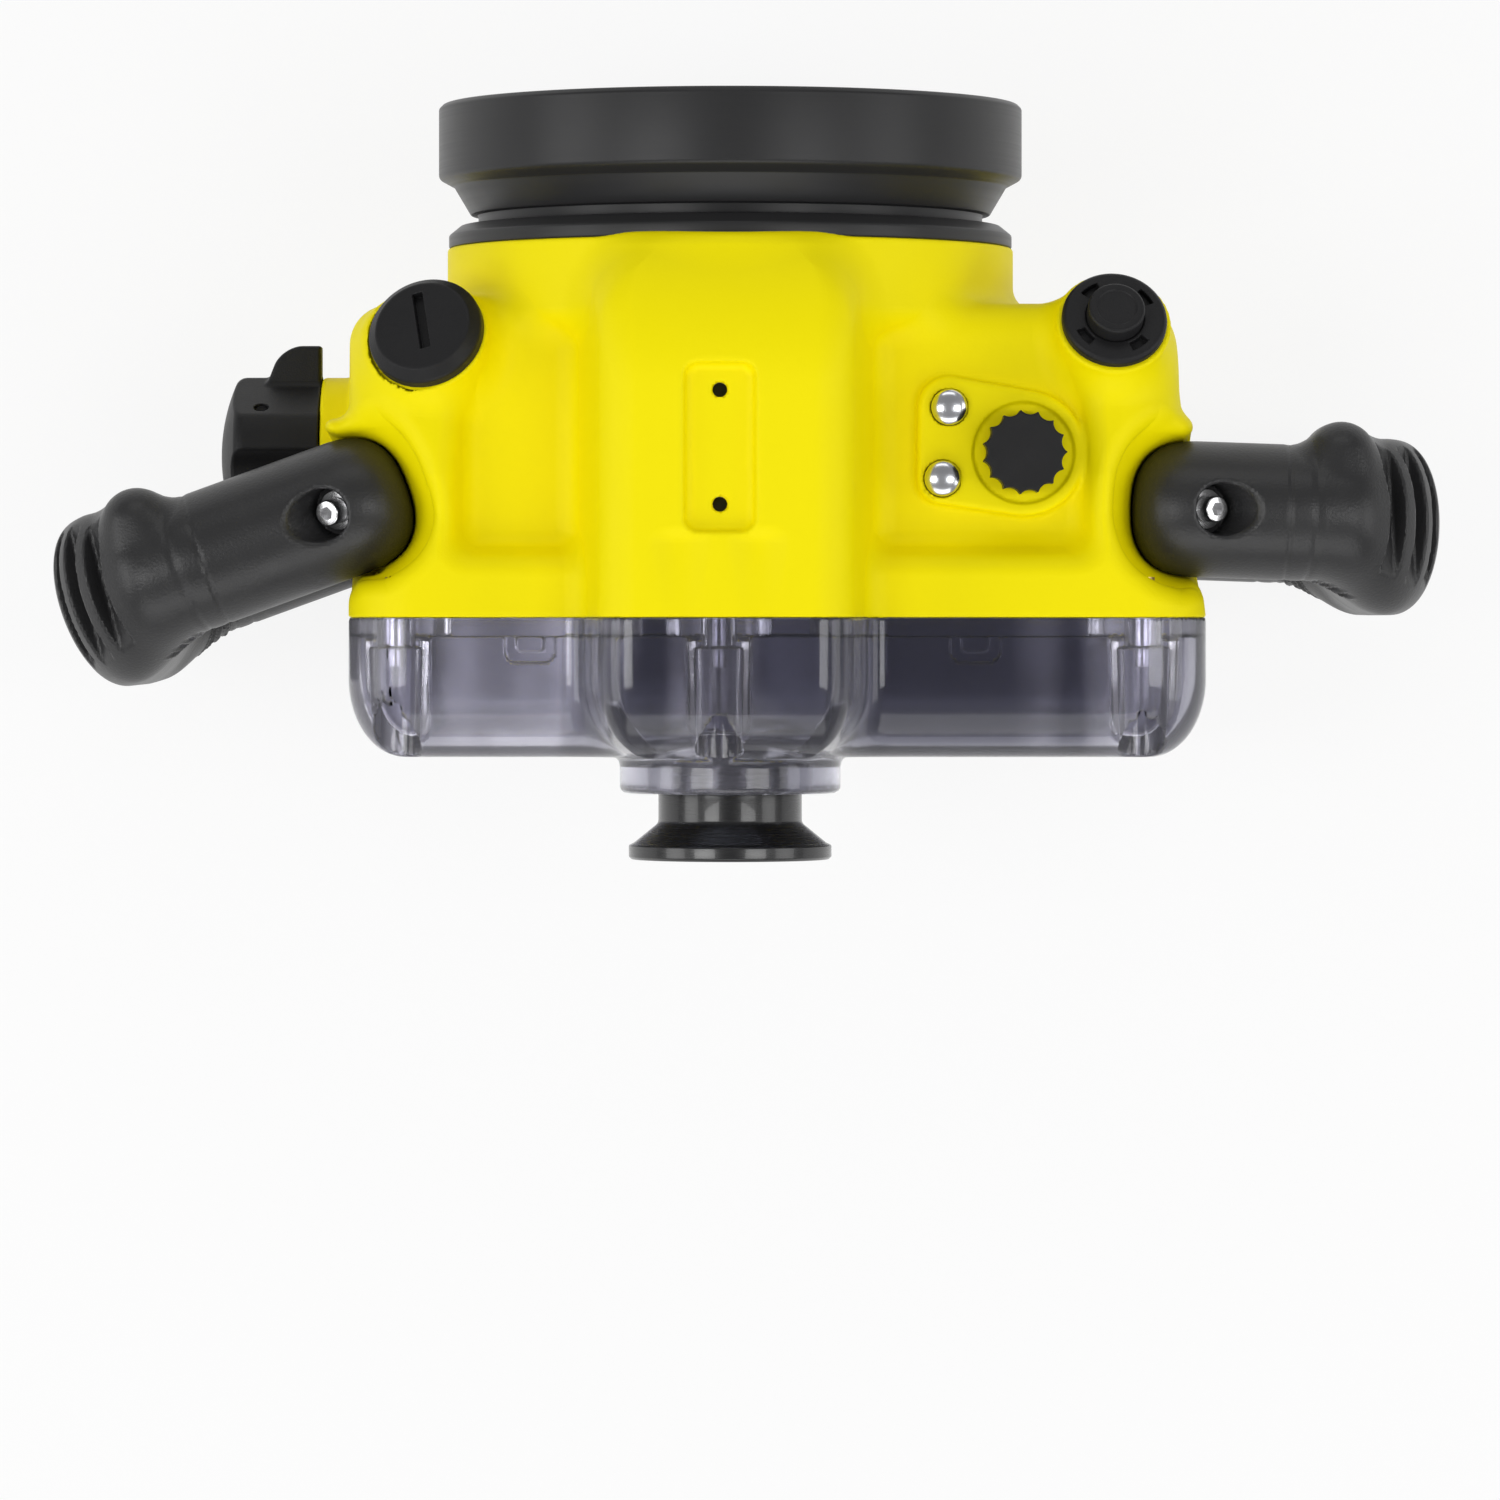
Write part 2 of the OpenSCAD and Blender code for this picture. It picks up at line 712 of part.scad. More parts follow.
module front_shell() color("gold") {
    difference() {
        union() {
            difference() {
                body_block();
                pockets();
            }
            hump();
            turned_forward([
                [neck_r - neck_root, shoulder_depth - neck_root], [neck_r, shoulder_depth - neck_root],
                [neck_r, neck_depth - neck_edge], [neck_r - neck_edge, neck_depth],
                [neck_r - neck_root, neck_depth]
            ], fine);
            turned_forward([
                [neck_r - flare_r, shoulder_depth - flare_r],
                [neck_r + flare_r, shoulder_depth - flare_r],
                each [
                    for (a = [0:30:90])
                        [neck_r + flare_r * (1 - sin(a)), shoulder_depth + flare_r * (1 - cos(a))]
                ],
                [neck_r - flare_r, shoulder_depth + flare_r]
            ], fine);
            mound();
            intersection() {
                at_shutter() corner_boss(bezel_r + bezel_land);
                translate([-body_right, seat_y, 0]) cube([body_right, neck_depth, 2 * rim_z]);
            }
            intersection() {
                at_plug() corner_boss(plug_r + plug_land);
                translate([0, seat_y, 0]) cube([body_left, neck_depth, 2 * rim_z]);
            }
            at_right_handle() saddle(18);
            at_left_handle() saddle(18);
            at_zoom() translate([0, 0, -seat_gap - zoom_under])
                cylinder(r = zoom_boss_r, h = zoom_under, $fn = medium);
        }
        cavity();
        // Passage for the lens, and the seat of the port ring
        turned_forward([
            [0, shoulder_depth - 4 * wall], [port_bore_r + lens_slack, shoulder_depth - 4 * wall],
            [port_bore_r + lens_slack, neck_depth - ring_spigot - slip],
            [ring_spigot_r + slip, neck_depth - ring_spigot - slip],
            [ring_spigot_r + slip, neck_depth + over], [0, neck_depth + over]
        ], fine);
        // Room for the handles
        at_right_handle() cup();
        at_left_handle() cup();
        at_right_handle() screw_boss_bore();
        at_left_handle() screw_boss_bore();
        // Groove for the seal
        between(seam_y - seal_depth, seam_y + over) difference() {
            stepped_outline(seal_out - slip, detour_out - slip);
            stepped_outline(seal_out + seal_w + slip, detour_out + seal_w + slip);
        }
        // Holes for the cover's inserts
        at_cover_screws() translate([0, 0, -insert_len - slip])
            cylinder(r = insert_r + slip, h = insert_len + slip + over, $fn = coarse);
        // Accessory recess and its inserts
        translate([shoe_x, shoe_y, hump_z - shoe_depth]) linear_extrude(shoe_depth + over)
            offset(r = shoe_corner, $fn = coarse)
                square([shoe_w - 2 * shoe_corner, shoe_l - 2 * shoe_corner], center = true);
        at_shoe_inserts() translate([0, 0, -slip])
            cylinder(r = shoe_insert_r + slip, h = shoe_depth + shoe_insert_len + over, $fn = coarse);
        // Shallow valleys either side of the screw boss behind the recess
        for (s = [-1, 1])
            translate([screw_x[1] + s * valley_x, seam_y + over, hump_z + valley_up]) rotate([90, 0, 0])
                cylinder(r = valley_r, h = valley_len + over, $fn = small);
        // Holes for the controls
        at_dial() {
            translate([0, 0, -mound_t - wall]) cylinder(r = dial_gland_r + slip, h = rim_up, $fn = medium);
            translate([0, 0, -seat_gap - dial_seat_depth])
                cylinder(r = dial_seat_r, h = rim_up, $fn = medium);
        }
        for (p = [button_front_at, button_rear_at])
            translate([p[0], p[1], mound_z - mound_t - wall])
                cylinder(r = button_r + seat_gap, h = rim_up, $fn = medium);
        at_shutter() {
            translate([0, 0, -3 * barrel_len])
                cylinder(r = barrel_r + slip, h = 4 * barrel_len, $fn = medium);
            cylinder(r = bezel_r + over, h = barrel_len, $fn = medium);
        }
        at_plug() {
            translate([0, 0, -plug_shank - over])
                cylinder(r = plug_shank_r + slip, h = 2 * plug_shank, $fn = medium);
            cylinder(r = plug_r + plug_land - slip, h = 2 * plug_shank, $fn = medium);
        }
        at_zoom() translate([0, 0, -2 * zoom_in])
            cylinder(r = zoom_gland_r + slip, h = 3 * zoom_in, $fn = medium);
        // Hole for the tripod insert
        translate([0, 0, -over])
            cylinder(r = tripod_insert_r + slip, h = insert_len + over, $fn = medium);
        // Holes for the tray screws
        at_tray_posts() translate([0, 0, tray_top - tray_screw_len - slip - tray_t / 2])
            cylinder(r = tray_screw_r + run_gap, h = tray_screw_len, $fn = 13);
    }
}

module port_ring() color("dimgray") {
    nose = neck_depth + ring_t + ring_nose;
    turned_forward([
        [ring_bore_r, neck_depth - ring_spigot], [ring_spigot_r, neck_depth - ring_spigot],
        [ring_spigot_r, neck_depth], [neck_r - seat_gap, neck_depth],
        [neck_r - seat_gap, neck_depth + ring_t], [neck_r - ring_edge, nose], [ring_bore_r, nose]
    ]);
}

module tripod_insert() color("darkgoldenrod") {
    ring(tripod_insert_r, tripod_r, insert_len);
}

module shoe_inserts() color("darkgoldenrod") {
    at_shoe_inserts() ring(shoe_insert_r, shoe_thread_r, shoe_insert_len);
}

module cover_inserts() color("darkgoldenrod") {
    at_cover_screws() translate([0, 0, -insert_len]) ring(insert_r, screw_r + slip, insert_len);
}

module handle_insert() {
    at_both_arms() at_handle_screw()
        translate([0, 0, -handle_insert_from - handle_insert_len])
            ring(handle_insert_r, screw_r + run_gap, handle_insert_len);
}

module handle_inserts() color("darkgoldenrod") {
    at_right_handle() handle_insert();
    at_left_handle() handle_insert();
}

module body_seal() color("dimgray") {
    between(seam_y - seal_depth, seam_y) difference() {
        stepped_outline(seal_out, detour_out);
        stepped_outline(seal_out + seal_w, detour_out + seal_w);
    }
}

module camera_tray() color("gray") {
    difference() {
        translate([tray_corner[0], tray_corner[1], tray_top - tray_t])
            cube([tray_size[0], tray_size[1], tray_t]);
        at_tray_posts() cylinder(r = tray_screw_r + seat_gap, h = lens_h, $fn = coarse);
        translate([0, tray_y, 0]) cylinder(r = tripod_r + seat_gap, h = lens_h, $fn = small);
        for (s = [-1, 1]) translate([s * tray_hole_at, tray_y, 0])
            cylinder(r = tray_hole_r, h = lens_h, $fn = small);
    }
}

module tray_screws() color("silver") {
    at_tray_posts() translate([0, 0, tray_top]) {
        cylinder(r = tray_head_r, h = tray_head_t, $fn = small);
        translate([0, 0, -tray_screw_len]) cylinder(r = tray_screw_r, h = tray_screw_len, $fn = coarse);
    }
}

module camera_screw() color("silver") {
    translate([0, tray_y, tray_boss_top()]) {
        cylinder(r = camera_head_r, h = camera_head_t, $fn = medium);
        cylinder(r = tripod_r, h = camera_head_t + tray_t + wall, $fn = medium);
    }
}

module plug_cap() color("dimgray") at_plug() difference() {
    groove_top = -plug_groove_at + plug_groove_w / 2;
    groove_low = groove_top - plug_groove_w;
    rotate_extrude($fn = fine) polygon([
        [0, -plug_shank], [plug_shank_r, -plug_shank], [plug_shank_r, groove_low],
        [plug_shank_r - plug_groove, groove_low], [plug_shank_r - plug_groove, groove_top],
        [plug_shank_r, groove_top], [plug_shank_r, 0], [plug_r, 0],
        [plug_r, plug_t - plug_edge], [plug_r - plug_edge, plug_t], [0, plug_t]
    ]);
    rotate([0, 0, plug_lean[1]]) translate([-slot_w / 2, -slot_len / 2, plug_t - slot_depth])
        cube([slot_w, slot_len, plug_t]);
}

module plug_seal() color("black") at_plug()
    translate([0, 0, -plug_groove_at]) o_ring(plug_shank_r - plug_groove + cord_r, plug_groove / 2);

module shutter_bezel() color("dimgray") at_shutter() difference() {
    rotate_extrude($fn = fine) polygon([
        [shutter_stem_r + run_gap, -barrel_len], [barrel_r, -barrel_len], [barrel_r, 0], [bezel_r, 0],
        [bezel_r, bezel_t - bezel_edge], [bezel_r - bezel_edge, bezel_t],
        [shutter_r + run_gap, bezel_t], [shutter_r + run_gap, -shutter_well],
        [shutter_stem_r + run_gap, -shutter_well]
    ]);
    for (a = [20:90:300]) rotate([0, 0, a]) translate([0, 0, bezel_t - notch_depth])
        rotate_extrude(angle = notch_angle, $fn = fine)
            translate([shutter_r + notch_in, 0]) square([notch_w, barrel_len]);
}

module shutter_button() color("dimgray") at_shutter() {
    top = bezel_t + shutter_up;
    inner = shutter_r - shutter_edge - 2 * shutter_dish;
    rotate_extrude($fn = fine) polygon(concat(
        [
            [0, -barrel_len - shutter_travel], [shutter_stem_r, -barrel_len - shutter_travel],
            [shutter_stem_r, -shutter_travel], [shutter_r, -shutter_travel]
        ],
        arc(shutter_r - shutter_edge, top - shutter_edge, shutter_edge, 0, 90, 4),
        [[inner, top], [inner - shutter_dish, top - shutter_dish], [0, top - shutter_dish]]
    ));
}

module shutter_clip() color("silver") at_shutter()
    translate([0, 0, -barrel_len - clip_gap - clip_t]) ring(shutter_stem_r + clip_w, shutter_stem_r, clip_t);

module shutter_spring() color("silver") at_shutter()
    translate([0, 0, -shutter_well + run_gap])
        ring(shutter_r - over, shutter_stem_r + over, shutter_well - shutter_travel - 2 * run_gap);

// Bush for a shaft, hung from a shoulder against the inside of a wall
module bush(r_bore, r_body, top, under) {
    rotate_extrude($fn = fine) polygon([
        [r_bore, -under - bush_flange_t], [r_body + bush_flange, -under - bush_flange_t],
        [r_body + bush_flange, -under], [r_body, -under], [r_body, top], [r_bore, top]
    ]);
}

// Clip on a shaft, just under the bush's shoulder
module clip(r_shaft, under) {
    translate([0, 0, -under - bush_flange_t - clip_gap - clip_t])
        ring(r_shaft + clip_w, r_shaft, clip_t);
}

module dial_gland() color("dimgray") at_dial() translate([0, 0, -seat_gap])
    bush(dial_shaft_r + run_gap, dial_gland_r, -dial_seat_depth, mound_t);

module button_glands() color("dimgray") {
    at_front_button() bush(screw_r + run_gap, button_r, -2 * button_travel, mound_t);
    at_rear_button() bush(screw_r + run_gap, button_r, -2 * button_travel, mound_t);
}

module push_button() {
    stem = mound_t + bush_flange_t + clip_gap + clip_t + 2 * over;
    rotate_extrude($fn = fine) polygon(concat(
        [[0, -stem], [screw_r, -stem], [screw_r, button_lift], [button_r, button_lift]],
        [
            for (a = [0:15:90])
                [button_r * cos(a), button_lift + button_edge + button_dome * sin(a)]
        ]
    ));
}

module button_spring() {
    translate([0, 0, -2 * button_travel + run_gap])
        ring(button_r - over / 2, screw_r + over / 2, 2 * button_travel + button_lift - 2 * run_gap);
}

module front_button() color("silver") at_front_button() push_button();
module rear_button() color("silver") at_rear_button() push_button();
module front_button_clip() color("silver") at_front_button() clip(screw_r, mound_t);
module rear_button_clip() color("silver") at_rear_button() clip(screw_r, mound_t);
module front_button_spring() color("silver") at_front_button() button_spring();
module rear_button_spring() color("silver") at_rear_button() button_spring();

// Knob with concave flutes that meet in points
module dial_knob() color("dimgray") at_dial() {
    step = 180 / dial_flutes;
    flute_at = dial_r * cos(step) + sqrt(flute_r * flute_r - pow(dial_r * sin(step), 2));
    difference() {
        cylinder(r = dial_r, h = dial_h, $fn = fine);
        for (i = [0:dial_flutes - 1]) rotate([0, 0, 360 * i / dial_flutes])
            translate([flute_at, 0, -over]) cylinder(r = flute_r, h = dial_h + 2 * over, $fn = small);
        translate([0, 0, -over]) cylinder(r = dial_shaft_r, h = dial_h - over, $fn = fine);
    }
}

module dial_shaft() color("silver") at_dial()
    translate([0, 0, -mound_t - dial_shaft_in])
        cylinder(r = dial_shaft_r, h = mound_t + dial_shaft_in + dial_h - 3 * over, $fn = fine);

module dial_clip() color("silver") at_dial() clip(dial_shaft_r, mound_t + seat_gap);

module dial_wheel() color("black") at_dial()
    translate([0, 0, -mound_t - dial_shaft_in]) ring(wheel_r, dial_shaft_r, wheel_t);

// Broad flats and finger grooves round the zoom knob, three of each
module zoom_grips() {
    groove_at = zoom_r * cos(zoom_groove_half)
        + sqrt(zoom_groove_r * zoom_groove_r - pow(zoom_r * sin(zoom_groove_half), 2));
    for (i = [0:2]) rotate([0, 0, 120 * i]) {
        translate([zoom_r * cos(zoom_flat_half), -zoom_r, -over])
            cube([zoom_r, 2 * zoom_r, 2 * zoom_len]);
        rotate([0, 0, zoom_groove_turn]) translate([groove_at, 0, -over])
            cylinder(r = zoom_groove_r, h = 2 * zoom_len, $fn = small);
    }
}

// Knob with a domed end and a thumb fin towards the front
module zoom_knob() color("dimgray") at_zoom() {
    dome_r = (zoom_r * zoom_r + zoom_dome * zoom_dome) / (2 * zoom_dome);
    difference() {
        union() {
            difference() {
                intersection() {
                    cylinder(r = zoom_r, h = zoom_len, $fn = fine);
                    translate([0, 0, zoom_len - dome_r]) sphere(r = dome_r, $fn = 3 * fine);
                }
                zoom_grips();
            }
            rotate([0, 0, 90]) rotate([90, 0, 0]) translate([0, 0, -fin_t / 2]) linear_extrude(fin_t)
                mirror([1, 0]) polygon(concat(
                    [[0, 0], [zoom_r + fin_out, 0]],
                    arc(zoom_r + fin_out - fin_crest, fin_crest, fin_crest, 0, 60, 5),
                    [[zoom_r - over, fin_len], [0, fin_len]]
                ));
        }
        translate([0, 0, -over]) cylinder(r = zoom_shaft_r, h = zoom_len - wall - over, $fn = fine);
        rotate([0, 0, 180 + set_screw_lean]) translate([zoom_r - set_screw_depth - over, 0, set_screw_at])
            rotate([0, 90, 0]) cylinder(r = set_screw_r, h = zoom_r, $fn = coarse);
    }
}

module zoom_gland() color("dimgray") at_zoom() translate([0, 0, -seat_gap])
    bush(zoom_shaft_r + run_gap, zoom_gland_r, 0, zoom_under);

module zoom_shaft() color("silver") at_zoom() translate([0, 0, -zoom_in])
    cylinder(r = zoom_shaft_r, h = zoom_in + zoom_len - wall - 2 * over, $fn = fine);

module zoom_clip() color("silver") at_zoom() clip(zoom_shaft_r, zoom_under + seat_gap);

// Gear that turns the ring on the lens
module zoom_gear() color("black") at_zoom() translate([0, 0, -zoom_in]) {
    difference() {
        linear_extrude(gear_t) polygon([
            for (i = [0:gear_teeth - 1])
                each [
                    for (k = [[0, -1], [0.22, -1], [0.36, 1], [0.64, 1], [0.78, -1]])
                        let (a = 360 * (i + k[0]) / gear_teeth, r = gear_r + tooth * k[1])
                        [r * cos(a), r * sin(a)]
                ]
        ]);
        translate([0, 0, -over]) cylinder(r = zoom_shaft_r, h = gear_t + 2 * over, $fn = fine);
    }
}

module lens_port() color("dimgray") {
    r0 = ring_bore_r - slip;
    g0 = port_start + port_groove[0];
    g1 = g0 + port_groove[1];
    w1 = port_gap + port_waist;
    turned_forward([
        [port_bore_r, port_start], [r0, port_start], [r0, g0], [r0 - port_groove[2], g0],
        [r0 - port_groove[2], g1], [r0, g1], [r0, port_gap],
        [ring_bore_r + port_waist_w, port_gap], [ring_bore_r + port_waist_w, w1],
        [ring_bore_r + port_waist_w + port_step_w, w1],
        [port_r - port_shoulder_w, port_rim_start - port_shoulder],
        [port_r, port_rim_start], [port_r, port_front - port_edge], [port_r - port_edge, port_front],
        [port_r - port_lip, port_front], [port_r - port_lip - 2 * slip, window_front],
        [window_r + slip, window_front], [window_r + slip, window_front - window_t],
        [port_bore_r, window_front - window_t]
    ]);
}

module port_window() color("lightsteelblue", 0.4)
    turned_forward([
        [0, window_front - window_t], [window_r, window_front - window_t],
        [window_r, window_front], [0, window_front]
    ]);

module port_retainer() color("dimgray") difference() {
    r = port_r - port_lip - 3 * slip;
    turned_forward([
        [window_r - retainer_in, window_front], [r, window_front], [r, window_front + retainer_t],
        [window_r - retainer_in + retainer_edge, window_front + retainer_t],
        [window_r - retainer_in, window_front + retainer_t - retainer_edge]
    ]);
    for (a = [0:90:270]) translate([0, seam_y - window_front - retainer_t / 2, lens_h]) rotate([0, a, 0])
        translate([(r + window_r - retainer_in) / 2, 0, 0]) rotate([90, 0, 0])
            cylinder(r = retainer_edge, h = retainer_t, $fn = coarse);
}

module port_seal() color("black")
    translate([0, seam_y - port_start - port_groove[0] - port_groove[1] / 2, lens_h]) rotate([90, 0, 0])
        rotate_extrude($fn = 2 * fine)
            translate([ring_bore_r - slip - port_groove[2] / 2, 0]) circle(r = cord_r, $fn = 20);

// Outside or inside of the cover, its rear edge rounded to an ellipse
module cover_form(d, y0) {
    rear = seam_y + cover_depth - d;
    across = cover_edge - d * 0.4;
    along = cover_edge_depth - d * 0.6;
    edge = [for (a = [0:15:90]) [d + across * (1 - cos(a)), rear - along * (1 - sin(a))]];
    loft(concat([at_depth(body_outline(d), y0)], [for (e = edge) at_depth(body_outline(e[0]), e[1])]));
    loft(concat([at_depth(hump_outline(d), y0)], [for (e = edge) at_depth(hump_outline(e[0]), e[1])]));
}

// U-shaped lug under the cover's top wall
module lug() {
    difference() {
        translate([-lug_w / 2, 0, 0]) cube([lug_w, lug_len, lug_t + over]);
        translate([lug_wall - lug_w / 2, -over, -over])
            cube([lug_w - 2 * lug_wall, lug_len - lug_wall + over, lug_t + over]);
    }
}

module back_cover() color("lightsteelblue", 0.5) {
    boss_from = cover_depth - cover_wall - over;
    boss_end = cover_depth + eyepiece_boss;
    boss_in = eyepiece_boss_r - eyepiece_boss;
    difference() {
        union() {
            difference() {
                cover_form(0, seam_y);
                difference() {
                    cover_form(cover_wall, seam_y + cover_flange_t);
                    at_cover_screws() cylinder(
                        r1 = well_r + well_wall, r2 = well_mouth_r + well_wall, h = cover_depth, $fn = medium
                    );
                    for (x = lug_x) translate([x, seam_y, rim_z - cover_wall - lug_t]) lug();
                }
                between(seam_y - over, seam_y + cover_flange_t + eps)
                    stepped_outline(flange_w, detour_flange);
            }
            turned_back([
                [boss_in, boss_from], [eyepiece_boss_r, boss_from],
                [eyepiece_boss_r, boss_end - boss_edge], [eyepiece_boss_r - boss_edge, boss_end],
                [boss_in, boss_end]
            ]);
        }
        turned_back([
            [0, boss_from - 2 * over], [eye_bore_r + slip, boss_from - 2 * over],
            [eye_bore_r + slip, boss_end + over], [0, boss_end + over]
        ]);
        at_cover_screws() {
            translate([0, 0, boss_t])
                cylinder(r1 = well_r, r2 = well_mouth_r, h = cover_depth, $fn = medium);
            translate([0, 0, -over]) cylinder(r = sleeve_r + slip, h = boss_t + 2 * over, $fn = small);
        }
    }
}

// Sleeves that the cover screws turn in
module cover_sleeves() color("silver") {
    at_cover_screws() ring(sleeve_r, screw_r, boss_t);
}

module cover_screws() color("silver") {
    at_cover_screws() translate([0, 0, boss_t])
        socket_screw(screw_head_r, screw_head_len, screw_r - run_gap, boss_t + screw_tip);
}

module eyepiece_barrel() color("black") {
    z = cover_depth + eyepiece_boss;
    r = eyepiece_rim_r;
    bore = eye_bore_r - eye_wall;
    cone = z + eye_neck + eye_cone;
    rim = cone + eye_rim[0] + eye_rim[1];
    g = z - eye_in + eye_groove[0];
    turned_back([
        [bore, z - eye_in], [eye_bore_r, z - eye_in], [eye_bore_r, g], [eye_bore_r - eye_groove[2], g],
        [eye_bore_r - eye_groove[2], g + eye_groove[1]], [eye_bore_r, g + eye_groove[1]],
        [eye_bore_r, z], [eye_neck_r, z], [eye_neck_r, z + eye_neck],
        [r - 2 * eye_rim[0], cone], [r, cone + eye_rim[0]], [r, rim - eye_rim[0]], [r - eye_rim[0], rim],
        [eye_cup_r, rim], [eye_neck_r - 2 * over, z + eye_in], [eye_lens_r + slip, z + eye_in],
        [eye_lens_r + slip, z + eye_ledge], [bore, z + eye_ledge]
    ]);
}

module eyepiece_lens() color("lightsteelblue", 0.5) {
    z = cover_depth + eyepiece_boss + eye_ledge;
    turned_back([[0, z], [eye_lens_r, z], [eye_lens_r, z + eye_lens_t], [0, z + eye_lens_t]]);
}

module eyepiece_seal() color("black")
    translate([0, seam_y + cover_depth + eyepiece_boss - eye_in + eye_groove[0] + eye_groove[1] / 2,
        lens_h + eyepiece_up])
        rotate([-90, 0, 0]) o_ring(eye_bore_r - eye_groove[2] / 2, eye_groove[2] / 2);

// Length of a handle's path: along the upper arm, down the grip and back along the lower arm
function path_len(reach) = 2 * (reach - bend_r) + PI * bend_r + arm_drop - 2 * bend_r;

// Place on the path at length t, as distance out, height and heading
function path_at(t, reach) =
    let (
        straight = reach - bend_r,
        quarter = PI * bend_r / 2,
        down = arm_drop - 2 * bend_r,
        t2 = t - straight,
        t3 = t2 - quarter,
        t4 = t3 - down,
        t5 = t4 - quarter,
        a = 90 * t2 / quarter,
        b = 90 * t4 / quarter
    )
    t2 <= 0 ? [t, 0, 0] :
    t3 <= 0 ? [straight + bend_r * sin(a), -bend_r * (1 - cos(a)), a] :
    t4 <= 0 ? [reach, -bend_r - t3, 90] :
    t5 <= 0 ? [straight + bend_r * cos(b), -arm_drop + bend_r * (1 - sin(b)), 90 + b] :
    [straight - t5, -arm_drop, 180];

// How far a place on the path belongs to the grip, from 0 on the arms to 1
function grip_share(t, reach) =
    let (
        end = min(t, path_len(reach) - t),
        u = max(0, min(1, (end - reach + bend_r + grip_lead) / grip_blend))
    )
    u * u * (3 - 2 * u);

// Wave of the ribs, on the outer side of the grip only
function rib_wave(t, reach) =
    let (u = (t - path_len(reach) / 2) / rib_span + 0.5)
    (u < 0 || u > 1) ? 0 : (1 - cos(360 * grip_ribs * u)) / 2;

function handle_ring(t, reach, shrink, n) =
    let (
        p = path_at(t, reach),
        g = grip_share(t, reach),
        half_in = arm_r - grip_thin * g,
        half_y = arm_r * (1 - g) + grip_half * g,
        cut = rib_depth * rib_wave(t, reach)
    )
    [
        for (i = [0:n - 1])
            let (
                a = 360 * i / n,
                outer = max(0, cos(a)),
                r1 = (half_in - cut * outer) * cos(a) * shrink,
                r2 = (half_y - cut * outer * 0.6) * sin(a) * shrink
            )
            [p[0] + r1 * sin(p[2]), r2, p[1] + r1 * cos(p[2])]
    ];

// Round end of an arm, as rings that close to a small flat
function end_rings(t, reach, n, steps) = [
    for (k = [0:steps - 1])
        let (a = 84 - 84 * k / steps)
        [for (q = handle_ring(t, reach, cos(a), n)) [q[0] - arm_r * sin(a), q[1], q[2]]]
];

module handle_form(reach) {
    n = 16;
    end_steps = 4;
    arm_steps = 8;
    rib_steps = 4 * grip_ribs;
    total = path_len(reach);
    arm = total / 2 - rib_span / 2;
    places = concat(
        [for (j = [0:arm_steps - 1]) arm * j / arm_steps],
        [for (j = [0:rib_steps]) arm + rib_span * j / rib_steps],
        [for (j = [arm_steps - 1:-1:0]) total - arm * j / arm_steps]
    );
    last = end_rings(total, reach, n, end_steps);
    loft(concat(
        end_rings(0, reach, n, end_steps),
        [for (t = places) handle_ring(t, reach, 1, n)],
        [for (k = [end_steps - 1:-1:0]) last[k]]
    ), true);
}

module handle(reach) {
    difference() {
        handle_form(reach);
        at_both_arms() at_handle_screw() {
            translate([0, 0, -handle_bore_depth]) cylinder(r = handle_bore_r, h = 2 * arm_r, $fn = medium);
            translate([0, 0, -4 * arm_r]) cylinder(r = screw_r + seat_gap, h = 4 * arm_r, $fn = small);
        }
    }
}

module right_handle() color("dimgray") at_right_handle() handle(right_reach);
module left_handle() color("dimgray") at_left_handle() handle(left_reach);

module handle_screw() {
    at_both_arms() at_handle_screw() translate([0, 0, washer_t - handle_bore_depth])
        socket_screw(screw_head_r, handle_head_len, screw_r, handle_screw_reach);
}

module handle_screws() color("silver") {
    at_right_handle() handle_screw();
    at_left_handle() handle_screw();
}

module handle_washer() {
    at_both_arms() at_handle_screw() translate([0, 0, -handle_bore_depth])
        ring(washer_r, screw_r, washer_t);
}

module handle_washers() color("silver") {
    at_right_handle() handle_washer();
    at_left_handle() handle_washer();
}

front_shell();
port_ring();
tripod_insert();
shoe_inserts();
cover_inserts();
handle_inserts();
body_seal();
camera_tray();
tray_screws();
camera_screw();
plug_cap();
plug_seal();
shutter_bezel();
zoom_gland();
dial_gland();
button_glands();
left_handle();
right_handle();
handle_screws();
handle_washers();
lens_port();
port_window();
port_retainer();
port_seal();
back_cover();
cover_sleeves();
cover_screws();
eyepiece_barrel();
eyepiece_lens();
eyepiece_seal();
zoom_knob();
zoom_shaft();
zoom_gear();
zoom_clip();
dial_knob();
dial_shaft();
dial_wheel();
dial_clip();
front_button();
front_button_clip();
front_button_spring();
rear_button();
rear_button_clip();
rear_button_spring();
shutter_button();
shutter_clip();
shutter_spring();
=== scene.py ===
"""Looks of the underwater camera housing: finishes, modelled skins, floor, lights and camera."""

import json
import math

